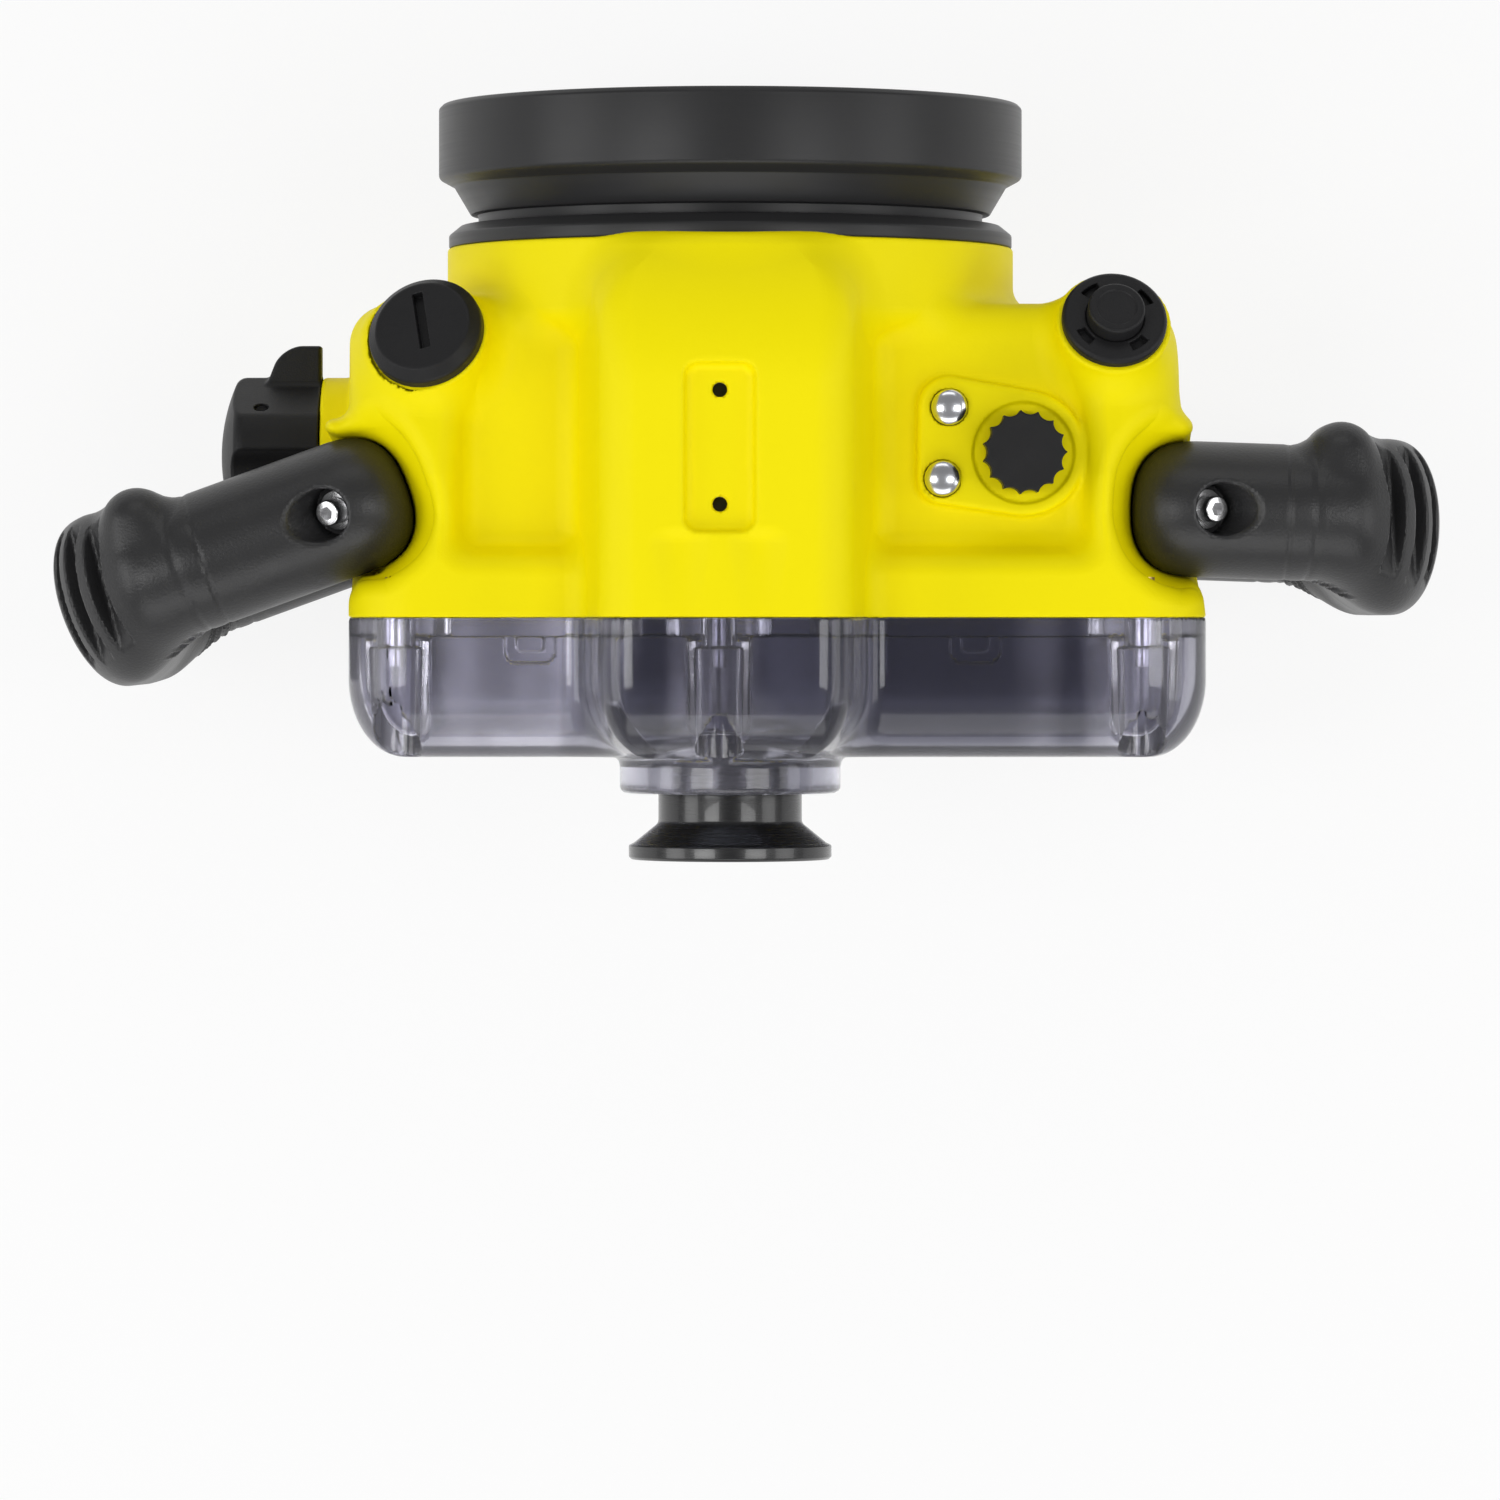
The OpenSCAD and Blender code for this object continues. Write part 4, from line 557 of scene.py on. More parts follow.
def mound_plan(x, y):
    """Plan of the plate: three circles and all that lies between them."""
    spots = ((FRONT_BUTTON, 7.0), (REAR_BUTTON, 5.7), (DIAL, 14.0))
    plan = None
    for i in range(3):
        (a, ra), (b, rb) = spots[i], spots[(i + 1) % 3]
        edge = uneven_capsule(x, y, a, ra, b, rb)
        plan = edge if plan is None else np.minimum(plan, edge)
    inner = None
    centre = np.mean([s[0] for s in spots], axis=0)
    for i in range(3):
        a, b = np.array(spots[i][0]), np.array(spots[(i + 1) % 3][0])
        normal = np.array([b[1] - a[1], a[0] - b[0]]) / np.linalg.norm(b - a)
        if np.dot(centre - a, normal) > 0:
            normal = -normal
        line = (x - a[0]) * normal[0] + (y - a[1]) * normal[1]
        inner = line if inner is None else np.maximum(inner, line)
    return np.minimum(plan, inner)


def arm_end(place, x, y, z):
    """Local coordinates at an arm's end, the lower arm folded on to the upper one."""
    u, v, w = into(place, x, y, z)
    return u, v, np.abs(w + ARM_DROP / 2) - ARM_DROP / 2


def saddle(place, x, y, z, r=20.3, lip=12.0):
    """Raised lip round an arm's end: a ball cut off level with the side and at the lip's height."""
    u, v, w = arm_end(place, x, y, z)
    return meet(meet(np.sqrt(u * u + v * v + w * w) - r, u + 2.0, 3.0), w - lip, 4.0)


def cup(place, x, y, z):
    """Room for an arm's end: the end of the arm carried outwards and away from the other arm, and
    opened above the arm's axis, so that its wall stands upright there."""
    u, v, w = arm_end(place, x, y, z)
    du = np.maximum(np.maximum(-u, u - 46.0), 0)
    dw = np.maximum(np.maximum(-w, w - 30.0), 0)
    reach = ((dw * dw + v * v) ** 1.3 + du ** 2.6) ** (1 / 2.6) - (ARM_R + 0.3)
    most = (CUP_DEEP - CUP_REAR * np.clip((y - 4.0) / 14.0, 0, 1)) * np.clip((4.0 - u) / 8.0, 0.25, 1)
    open_up = np.sqrt(CUP_SQUARE + np.maximum(w, 0) ** 2) - CUP_R
    return (reach - np.minimum(open_up, most)) * 0.92


def screw_post(place, x, y, z):
    """Boss behind a cup that holds the handle screw's insert."""
    u, v, w = arm_end(place, x, y, z)
    u, v, w = into((frame_of(lean_y=33), (5.8, 0.0, ARM_R)), u, v, w)
    return meet(np.hypot(u, v) - 6.0, band(w, -42.0, -30.0), 0.8)


def screw_reach(x, z):
    """Distance in the seam's plane to the nearest cover screw."""
    return np.minimum.reduce([np.hypot(x - a, z - b) for a, b in SCREWS])


def seam_plan(x, z):
    """The seam's outline: body and hump together."""
    return join(body_outline(x, z), hump_outline(x, z), 3.0)


def stepped(plan, reach, inset, r):
    """The seam's outline drawn in by inset, and kept r away from the cover screws."""
    return np.maximum(plan + inset, r - reach)


def rounded_slot(x, y, half_x, half_y, r):
    """Plan of a rectangle with rounded corners about the origin."""
    return meet(np.abs(x) - half_x, np.abs(y) - half_y, r)


def shell_room(x, y, z, plan, reach):
    """Room inside the shell, less the posts and bosses that stand in it."""
    room = meet(meet(body_outline(x, z, BODY_RIGHT - TAPER, SHOULDER_Z) + WALL, -38.0 - y, 8.0), y - 20.0)
    prism = meet(meet(hump_outline(x, z, 23.0, 137.5), 60.0 - z), np.maximum(-27.0 - y, y - 20.0), 2.0)
    mouth = meet(stepped(plan, reach, 10.2, 12.0), band(y, 18.0, 29.0))
    room = np.minimum(np.minimum(room, prism), mouth)
    standing = np.minimum(saddle(RIGHT_ARM, x, y, z, 24.0, 24.0), saddle(LEFT_ARM, x, y, z, 24.0, 24.0))
    standing = np.minimum(standing, screw_post(RIGHT_ARM, x, y, z))
    standing = np.minimum(standing, screw_post(LEFT_ARM, x, y, z))
    standing = np.minimum(standing, meet(reach - 6.2, 13.0 - y, 0.6))
    feet = np.minimum.reduce([np.hypot(x - a, y - b) for a in (-50, 36) for b in (-24, 12)])
    standing = np.minimum(standing, meet(feet - 6.0, z - 17.0, 0.6))
    standing = np.minimum(standing, meet(np.hypot(x, y) - 9.0, z - 12.0, 0.6))
    return cut(room, standing, 1.2)


def shell_field(x, y, z):
    """The moulded front shell: body, hump, neck, bosses and lips joined by soft fillets, less its
    pockets, cups, room, recesses and holes."""
    x, y, z = (np.asarray(v, dtype=np.float32) if np.ndim(v) else v for v in (x, y, z))
    right = BODY_RIGHT - TAPER * (SEAM_Y - y) / 70.0
    top = RIM_Z - 6.5 * np.maximum(-4.8 - y, 0) / 38.2
    body = meet(body_outline(x, z, right, top), FRONT_Y - y, 9.0)
    body = cut(body, shoulder_pocket(x, y, z, 5.0, 58.0), 3.0)
    body = cut(body, shoulder_pocket(-x, y, z, 5.0, 77.0), 3.0)
    for place, r in ((SHUTTER, 12.9), (PLUG, 13.6)):
        body = join(body, np.maximum(corner_boss(place, r, x, y, z), NECK_Y - y), 5.0)
    for place in (RIGHT_ARM, LEFT_ARM):
        body = join(body, saddle(place, x, y, z), 3.5)
    body = join(body, neck_solid(x, y, z), 5.0)
    body = join(body, hump_solid(x, y, z), 4.5)
    u, v, w = into(ZOOM, x, y, z)
    body = join(body, meet(np.hypot(u, v) - 18.0, band(w, -12.0, -0.3), 0.8), 2.5)
    plate = meet(mound_plan(x, y), np.maximum(z - MOUND_Z, 112.0 - z), 1.5)
    body = join(body, plate, 1.5)
    body = meet(body, y - SEAM_Y, 0.5)
    plan = seam_plan(x, z)
    reach = screw_reach(x, z)
    body = cut(body, shell_room(x, y, z, plan, reach), 0.4)
    # Passage for the lens, and the seat of the port ring
    lens = np.hypot(x, z - LENS_Z)
    body = cut(body, np.minimum(meet(lens - 55.5, y + 23.0), meet(lens - 59.5, y + 47.9)), 0.3)
    # Room for the handles, with a rounded bead round each
    for place in (RIGHT_ARM, LEFT_ARM):
        body = cut(body, cup(place, x, y, z), 4.0)
    # Groove of the seal, and the holes of the cover's inserts
    groove = np.maximum(stepped(plan, reach, 5.3, 7.3), -stepped(plan, reach, 7.9, 9.9))
    body = cut(body, np.maximum(groove, SEAM_Y - 2.2 - y), 0.2)
    body = cut(body, np.maximum(reach - 3.1, 17.9 - y), 0.2)
    # Recess on the hump, its threads, and the valleys behind it
    lean = 0.20 * (z - 144.0)
    recess = meet(rounded_slot(x - 2.2, y + 10.3, 7.3 + lean, 18.0 + lean, 3.0), 144.0 - z, 1.6)
    body = cut(body, recess, 0.9)
    threads = np.hypot(x - 2.2, np.abs(y + 10.3) - 12.5)
    body = cut(body, np.minimum(meet(threads - 1.65, 130.0 - z), meet(threads - 2.7, band(z, 138.0, 142.1))))
    valley = np.hypot(np.abs(x - 2.4) - 8.5, z - 152.0 - 0.17 * np.maximum(y - 9.0, 0)) - 6.5
    body = cut(body, meet(valley, 9.0 - y, 2.0), 2.5)
    # Seat and holes of the controls
    dial = np.hypot(x - DIAL[0], y - DIAL[1])
    body = cut(body, meet(dial - 11.1, MOUND_Z - 0.8 - z, 0.5), 0.8)
    body = cut(body, np.maximum(dial - 6.6, 108.0 - z))
    for spot in (FRONT_BUTTON, REAR_BUTTON):
        body = cut(body, np.maximum(np.hypot(x - spot[0], y - spot[1]) - 4.15, 108.0 - z), 0.2)
    for place, shank, face in ((SHUTTER, 8.6, 12.7), (PLUG, 9.1, 13.5)):
        u, v, w = into(place, x, y, z)
        spot = np.hypot(u, v)
        body = cut(body, np.minimum(np.maximum(spot - shank, -30.0 - w), np.maximum(spot - face, -w)), 0.15)
    u, v, w = into(ZOOM, x, y, z)
    body = cut(body, np.maximum(np.hypot(u, v) - 9.1, -40.0 - w))
    return cut(body, np.maximum(np.hypot(x, y) - 6.8, z - 10.0), 0.3)


skin("housing_shell", shell_field, (-110, -59.5, -2), (95, 29.5, 149.5), 0.85,
     "housing", "shell", ("front_shell",))

# Clear cover behind the seam.
COVER_Y = SEAM_Y + 31.0
COVER_WALL = 4.5
EYE_Z = LENS_Z + 38.0


def cover_form(x, y, z, inset, rear, across, along):
    """Body and hump behind the seam, drawn in by inset, the rear edge rounded to an ellipse."""
    plan = join(body_outline(x, z), hump_outline(x, z), 4.0) + inset
    return meet(plan, (y - rear) * across / along, across)


def lug(x, y, z, at):
    """U-shaped lug under the top wall, its bend towards the rear."""
    flat = rounded_slot(x - at, y - 30.0, 5.5, 7.0, 2.5)
    inner = rounded_slot(x - at, y - 28.0, 3.1, 6.6, 1.2)
    return meet(cut(flat, inner, 0.3), np.maximum(118.2 - z, z - 123.0), 0.4)


def cover_field(x, y, z):
    """The clear cover: a wall round an empty room, a flange at the seam, posts round the screws
    that narrow to the rear, two lugs under the top, and the boss of the eyepiece."""
    x, y, z = (np.asarray(v, dtype=np.float32) if np.ndim(v) else v for v in (x, y, z))
    reach = screw_reach(x, z)
    plan = seam_plan(x, z)
    solid = cover_form(x, y, z, 0.0, COVER_Y, 12.5, 17.5)
    solid = meet(solid, SEAM_Y - y, 0.4)
    room = cover_form(x, y, z, COVER_WALL, COVER_Y - COVER_WALL, 10.7, 14.8)
    taper = 0.8 * np.clip((y - 33.5) / 31.0, 0, 1)
    posts = reach - (7.0 - taper)
    room = cut(cut(np.maximum(room, 31.0 - y), posts, 1.2),
               np.minimum(lug(x, y, z, 44.3), lug(x, y, z, -54.3)), 0.5)
    mouth = np.maximum(stepped(plan, reach, 10.2, 12.0), y - 32.0)
    solid = cut(solid, np.minimum(room, mouth), 0.5)
    axis = np.hypot(x, z - EYE_Z)
    boss = meet(axis - 24.6, band(y, 53.0, 66.0), 1.5)
    solid = join(solid, boss, 1.6)
    solid = cut(solid, np.maximum(axis - 13.1, 50.0 - y), 0.3)
    wells = meet(reach - (5.6 - taper), 33.5 - y, 0.3)
    solid = cut(solid, wells, 0.6)
    return cut(solid, reach - 3.9)


skin("clear_back_cover", cover_field, (-110, 25.5, -2), (89, 67.5, 149.5), 0.9,
     "cover", "clear_cover", ("back_cover",), 190000)

# Handles: one loop each, an oval grip between two round arms.
BEND_R = 20.0
GRIP_IN, GRIP_HALF = 14.5, 19.1
RIB_PITCH, RIB_HALF, RIB_DEPTH = 9.35, 2.75, 4.2


def smooth(u):
    """0 below 0, 1 above 1, and an easy curve between."""
    u = np.clip(u, 0, 1)
    return u * u * (3 - 2 * u)


def capsule_end(a, b, c):
    """1 on the surface of a round bar with a blunt end, from coordinates in parts of its radius."""
    round_part = np.sqrt(a * a + b * b) + 1e-6
    return (round_part ** 2.6 + np.abs(c) ** 2.6) ** (1 / 2.6)


def handle_field(place, reach, front, back):
    """Field of a handle whose grip stands reach out from the arm's end; front is the sign of its
    local y on the side of the port, and the grip is shifted back the other way.

    Its centre line runs out along the arm, round a quarter circle and down the grip, the same
    above and below its middle. The section is a circle on the arm and an egg on the grip, its
    blunt side outwards. A round stop stands out at the front of each bend. A
    rounded collar stands out where the grip begins, with two faint rings before it. Slots with
    level floors cross the outer side at equal steps of its length, deeper towards the port, and
    fine ribs cross the inner side behind.
    """
    straight = reach - BEND_R
    half_down = ARM_DROP / 2 - BEND_R
    quarter = math.pi * BEND_R / 2
    bore = frame_of(lean_y=33)

    def field(x, y, z):
        """Value of the handle's field at a place, the lower half folded on to the upper one."""
        u, v, w = into(place, x, y, z)
        height = np.abs(w + ARM_DROP / 2)
        out, up = u - straight, height - half_down
        on_arm = (out < 0) & (up > 0)
        on_bend = (out >= 0) & (up > 0)
        radius = np.hypot(out, np.maximum(up, 0))
        offset = np.where(on_arm, up - BEND_R, np.where(on_bend, radius - BEND_R, out - BEND_R))
        angle = np.arctan2(np.maximum(out, 0), np.maximum(up, 1e-6))
        along = np.where(on_arm, u, np.where(on_bend, straight + angle * BEND_R, straight + quarter - up))
        past = along - straight
        grip = smooth((past - 4.0) / 19.0)
        side = front * v + back * grip
        half_in = ARM_R + (GRIP_IN - ARM_R) * grip
        half_y = ARM_R + (GRIP_HALF - ARM_R) * grip
        half_y = half_y * (1 + 0.28 * grip * np.clip(offset / half_in, -1, 1))
        swell = 1.3 * np.exp(-((past - 8.6) / 3.4) ** 2) * smooth((offset + 4) / 12)
        crease = 0.22 * (np.exp(-((past + 1.5) / 0.55) ** 2) + np.exp(-((past - 2.6) / 0.55) ** 2))
        fingers = 0.5 * np.sin(past * 2.4) * smooth((past - 3.5) / 2) * smooth((15.0 - past) / 2)
        fingers = fingers * smooth((-side - 9.0) / 3) * smooth((4.0 - offset) / 3)
        half_in = half_in + swell - crease
        half_y = half_y - crease + fingers
        a, b, c = offset / half_in, side / half_y, np.minimum(u, 0) / ARM_R
        k = capsule_end(a, b, c)
        grade = np.sqrt((a / half_in) ** 2 + (b / half_y) ** 2 + (c / ARM_R) ** 2) + 1e-6
        solid = np.where(k < 0.3, k * k - 5.0, k * (k - 1) / grade)
        drop = ARM_DROP / 2 - height
        stop = np.sqrt((u - straight - 10.0 - 5.0 * smooth(-w / ARM_DROP)) ** 2 + (front * v - 12.6) ** 2
                       + (np.maximum(drop - 10.0, 0) + np.minimum(drop + 3.0, 0)) ** 2) - 8.0
        solid = join(solid, stop, 3.2)
        surface = half_down + (BEND_R + GRIP_IN) * (math.pi / 2 - angle)
        length = np.where(up > 0, surface, height)
        in_pitch = np.abs(np.mod(length, RIB_PITCH) - RIB_PITCH / 2)
        floor = GRIP_IN - RIB_DEPTH - 0.12 * (front * v) - offset
        slots = meet(meet(in_pitch - RIB_HALF, floor, 0.9), length - 56.1)
        solid = cut(solid, slots, 0.55)
        p, q, r = into((bore, (5.8, 0.0, ARM_R)), u, v, height - ARM_DROP / 2)
        hole = np.hypot(p, q)
        solid = cut(solid, np.maximum(hole - 5.7, -9.5 - r), 1.3)
        return cut(solid, np.maximum(hole - 2.3, r + 5.0))

    return field


skin("right_grip", handle_field(RIGHT_ARM, 40.9, 1, 2.3), (-163, -26, 1), (-87, 33, 129), 0.75,
     "housing", "handle_rubber", ("right_handle",), 170000)
skin("left_grip", handle_field(LEFT_ARM, 54.1, -1, 0.9), (68, -26, 1), (162, 52, 129), 0.75,
     "housing", "handle_rubber", ("left_handle",), 170000)

def rounded(profile, radii, steps=5):
    """A closed profile whose corners are cut back and replaced by arcs; a radius of 0 keeps one."""
    out = []
    for i, r in enumerate(radii):
        before, here, after = (np.array(profile[(i + k) % len(profile)], dtype=float) for k in (-1, 0, 1))
        if r == 0:
            out.append(here[None])
            continue
        a, b = before - here, after - here
        reach_a, reach_b = np.linalg.norm(a), np.linalg.norm(b)
        a, b = a / reach_a, b / reach_b
        half = math.acos(float(np.clip(a @ b, -0.9999, 0.9999))) / 2
        back = min(r / math.tan(half), 0.48 * reach_a, 0.48 * reach_b)
        centre = here + (a + b) / np.linalg.norm(a + b) * back / math.cos(half)
        first, last = here + a * back - centre, here + b * back - centre
        sweep = math.atan2(first[0] * last[1] - first[1] * last[0], first @ last)
        t = np.linspace(0, sweep, steps + 1)
        out.append(np.stack([centre[0] + first[0] * np.cos(t) - first[1] * np.sin(t),
                             centre[1] + first[0] * np.sin(t) + first[1] * np.cos(t)], axis=1))
    return np.concatenate(out)


def revolved(profile, count, place, shape=None):
    """Points and faces of a profile (radius, height) turned about the local z of a place.

    Point (i, j) lies at the profile's point i and the angle t of step j: (r cos t, r sin t, h).
    The profile runs anticlockwise with the radius to the right, and closes on itself or on the
    axis. shape, if given, changes the radius: shape(radius, height, angle).
    """
    t = np.linspace(0, 2 * math.pi, count, endpoint=False)[None, :]
    r = np.repeat(profile[:, :1], count, axis=1)
    h = np.repeat(profile[:, 1:2], count, axis=1)
    t = np.broadcast_to(t, r.shape)
    if shape is not None:
        r = shape(r, h, t)
    local = np.stack([r * np.cos(t), r * np.sin(t), h], axis=-1).reshape(-1, 3)
    points = local @ np.array(place[0]).T + np.array(place[1])
    index = np.arange(len(profile) * count).reshape(len(profile), count)
    index[profile[:, 0] < 1e-6] = index[profile[:, 0] < 1e-6][:, :1]
    ahead = np.roll(index, -1, axis=0)
    if profile[0, 0] < 1e-6 and profile[-1, 0] < 1e-6:
        index, ahead = index[:-1], ahead[:-1]
    quads = np.stack([index, np.roll(index, -1, axis=1), np.roll(ahead, -1, axis=1), ahead], axis=-1)
    return points, quads.reshape(-1, 4)


def turned(name, profile, radii, places, body, material, replaced=(), count=180, shape=None, slot=None):
    """A turned piece, or several alike: a profile with eased corners carried round each axis."""
    line = rounded(profile, radii)
    made = [revolved(line, count, place, shape) for place in places]
    points = np.concatenate([m[0] for m in made])
    quads = np.concatenate([m[1] + i * len(made[0][0]) for i, m in enumerate(made)])
    triangles = np.where(quads[:, :1] == quads[:, 1:2], quads[:, [1, 2, 3]], quads[:, [0, 1, 2]])
    other = np.stack([quads[:, 0], quads[:, 2], quads[:, 3]], axis=1)
    keep_first = (quads[:, 0] == quads[:, 1]) | (quads[:, 2] == quads[:, 3])
    faces = np.concatenate([triangles, other[~keep_first]])
    used, faces = np.unique(faces, return_inverse=True)
    obj = new_object(name, points[used], faces.reshape(-1, 3), body, material, replaced)
    obj.data.set_sharp_from_angle(angle=math.radians(34))
    return obj


def small_skin(name, field, place, half, low, high, step, body, material, replaced):
    """A small piece drawn in a place's own axes, out to half across and from low to high."""
    points, faces = surface_of(field, (-half, -half, low), (half, half, high), step)
    points = points @ np.array(place[0]).T + np.array(place[1])
    obj = new_object(name, points, faces, body, material, replaced)
    shade(obj, lambda x, y, z: field(*into(place, x, y, z)), 0.5 * step)


def within(place, offset, lean_y):
    """A frame at an offset in a place's own axes, leaning about its y."""
    turn, origin = np.array(place[0]), np.array(place[1])
    return turn @ np.array(frame_of(lean_y=lean_y)), origin + turn @ np.array(offset)


# Axes of the turned pieces: z forwards at the port, backwards at the eyepiece and the screws
PORT = (frame_of(lean_x=90), (0.0, SEAM_Y, LENS_Z))
EYE = (frame_of(lean_x=-90), (0.0, SEAM_Y, EYE_Z))

turned("port_barrel", [
    (52.0, 80.0), (56.5, 80.0), (56.5, 82.0), (55.0, 82.0), (55.0, 84.6), (56.5, 84.6), (56.5, 89.2),
    (57.4, 89.2), (57.4, 91.6), (59.1, 91.6), (62.9, 98.0), (66.4, 99.9), (66.4, 115.7),
    (65.4, 116.7), (61.4, 116.7), (61.2, 110.0), (58.1, 110.0), (58.1, 104.0), (52.0, 104.0)],
    [0.3, 0.3, 0.1, 0.1, 0.1, 0.1, 0.1, 0.2, 0.3, 0.5, 1.2, 1.4, 0.9, 0.9, 0.5, 0.2, 0.1, 0.1, 0.4],
    [PORT], "port", "port_black", ("lens_port",), 256)

turned("port_flange", [
    (56.6, 75.0), (59.4, 75.0), (59.4, 84.0), (64.1, 84.0), (64.1, 86.9), (61.4, 89.1), (56.6, 89.1)],
    [0.3, 0.2, 0.1, 0.5, 0.8, 0.7, 0.4], [PORT], "housing", "port_black", ("port_ring",), 256,
    slot="black_plastic")

turned("window_glass", [(0.0, 104.02), (57.98, 104.02), (57.98, 109.98), (0.0, 109.98)],
       [0, 0.3, 0.5, 0], [PORT], "port", "window", ("port_window",), 180)

turned("eyepiece_tube", [
    (10.5, 30.0), (13.0, 30.0), (13.0, 33.0), (11.6, 33.0), (11.6, 35.0), (13.0, 35.0), (13.0, 39.0),
    (16.0, 39.0), (16.0, 45.7), (21.4, 50.1), (22.6, 50.7), (22.6, 53.2), (22.0, 53.8),
    (17.5, 53.8), (14.0, 48.0), (12.6, 48.0), (12.6, 44.6), (10.5, 44.6)],
    [0.3, 0.3, 0.1, 0.1, 0.1, 0.1, 0.1, 0.3, 1.6, 1.2, 0.4, 0.4, 0.4, 1.2, 0.3, 0.2, 0.1, 0.3],
    [EYE], "cover", "gloss_black", ("eyepiece_barrel",), 160)

turned("eyepiece_glass", [(0.0, 44.62), (12.48, 44.62), (12.48, 46.4), (10.0, 47.2), (0.0, 47.58)],
       [0, 0.3, 0.4, 3.0, 0], [EYE], "cover", "window", ("eyepiece_lens",), 128)

turned("shutter_cap", [
    (0.0, -17.0), (2.5, -17.0), (2.5, -3.0), (6.35, -3.0), (6.35, 6.6), (4.6, 6.6), (4.2, 6.3), (0.0, 6.3)],
    [0, 0.3, 0.1, 0.3, 1.2, 0.3, 0.4, 0], [SHUTTER], "shutter", "black_plastic", ("shutter_button",), 128)


def button(name, spot, body, node):
    """A chrome button: a drum with a softly domed top, on a thin stem."""
    top = [(4.0 * math.cos(a), 1.6 + 1.8 * math.sin(a)) for a in np.linspace(0, math.pi / 2, 13)[:-1]]
    profile = [(0.0, -12.9), (2.0, -12.9), (2.0, 0.6), (4.0, 0.6)] + top + [(0.0, 3.4)]
    turned(name, profile, [0, 0.2, 0.1, 0.3] + [0] * 13, [(frame_of(), (*spot, MOUND_Z))],
           body, "chrome", (node,), 96)


button("front_chrome_button", FRONT_BUTTON, "button_f", "front_button")
button("rear_chrome_button", REAR_BUTTON, "button_r", "rear_button")


def socketed(r, h, t):
    """The ring of a screw's socket, bent from a circle to a hexagon 2.8 mm across its flats."""
    six = 1.4 / np.cos(np.mod(t, math.pi / 3) - math.pi / 6)
    return np.where((r > 1.5) & (r < 1.7), six, r)


def screw_profile(length, head):
    """Shank, head and socket of a cap screw."""
    profile = [(0.0, -length), (1.95, -length), (1.95, 0.0), (2.9, 0.0), (2.9, head), (1.6, head),
               (1.6, head - 2.2), (0.0, head - 2.2)]
    return profile, [0, 0.5, 0.1, 0.15, 0.35, 0, 0, 0]


BEHIND = frame_of(lean_x=-90)
turned("cover_cap_screws", *screw_profile(14.0, 4.5), [(BEHIND, (x, SEAM_Y + 6.5, z)) for x, z in SCREWS],
       "cover", "stainless", ("cover_screws",), 72, shape=socketed)
turned("cover_screw_sleeves", [(2.0, 0.0), (3.8, 0.0), (3.8, 6.5), (2.0, 6.5)], [0.1, 0.2, 0.3, 0.2],
       [(BEHIND, (x, SEAM_Y, z)) for x, z in SCREWS], "cover", "stainless", ("cover_sleeves",), 72)

ARM_SCREWS = [within(arm, (5.8, 0.0, w), lean) for arm in (RIGHT_ARM, LEFT_ARM)
              for w, lean in ((ARM_R, 33), (-ARM_DROP - ARM_R, 147))]
DEEP = [(turn, origin - 8.7 * turn[:, 2]) for turn, origin in ARM_SCREWS]
turned("handle_cap_screws", *screw_profile(28.0, 4.0), DEEP, "housing", "stainless", ("handle_screws",),
       72, shape=socketed)
turned("handle_screw_washers", [(2.05, -0.8), (4.6, -0.8), (4.6, -0.02), (2.05, -0.02)],
       [0.1, 0.2, 0.3, 0.1], DEEP, "housing", "stainless", ("handle_washers",), 96)

turned("recess_inserts", [(1.65, 0.0), (2.6, 0.0), (2.6, 4.1), (1.65, 4.1)], [0.1, 0.1, 0.15, 0.15],
       [(frame_of(), (2.2, -10.3 + d, 138.0)) for d in (-12.5, 12.5)], "housing", "brass",
       ("shoe_inserts",), 96)


def coin_plug(u, v, w):
    """Round plug: a broad chamfer, a coin slot across its face, and a grooved shank below."""
    r = np.hypot(u, v)
    head = meet(meet(meet(r - 13.0, band(w, 0.0, 5.0), 0.35), (r + w - 15.6) * 0.7071, 0.35), w - 5.0, 0.35)
    lean = math.radians(16)
    across, along = u * math.cos(lean) + v * math.sin(lean), v * math.cos(lean) - u * math.sin(lean)
    slot = np.maximum(np.maximum(np.abs(across) - 1.15, band(along, -8.6, 5.6)), 2.8 - w)
    shank = cut(np.maximum(r - 9.0, band(w, -9.0, 0.5)), np.maximum(7.6 - r, band(w, -5.0, -3.0)))
    return np.minimum(cut(head, slot, 0.35), shank)


def bezel(u, v, w):
    """Shutter bezel: a chamfered ring with four shallow notches round its bore, on a barrel."""
    r = np.hypot(u, v)
    ring = meet(meet(r - 11.7, band(w, 0.0, 2.6), 0.3), (r + w - 13.5) * 0.7071, 0.3)
    angle = np.arctan2(v, u)
    folded = np.abs(np.mod(angle - math.radians(36) + math.pi / 4, math.pi / 2) - math.pi / 4)
    notch = np.maximum(np.maximum(np.abs(r - 8.3) - 1.05, r * (folded - math.radians(14))), 0.9 - w)
    ring = cut(cut(ring, notch, 0.2), r - 6.42, 0.4)
    barrel = np.maximum(r - 8.5, band(w, -14.0, 0.5))
    return np.minimum(ring, cut(cut(barrel, np.maximum(r - 6.42, -9.0 - w)), r - 2.55))


def fluted(u, v, w):
    """Small dial: fifteen concave flutes that meet in eased points, its top edge broken."""
    r = np.hypot(u, v)
    step = 2 * math.pi / 15
    turn = np.mod(np.arctan2(v, u) + step / 2, step) - step / 2
    flute = np.hypot(r * np.cos(turn) - 10.95, r * np.sin(turn)) - 2.6
    drum = meet(cut(r - 9.45, flute, 0.25), band(w, 0.0, 9.5), 0.45)
    return cut(drum, np.maximum(r - 3.02, w - 8.5))


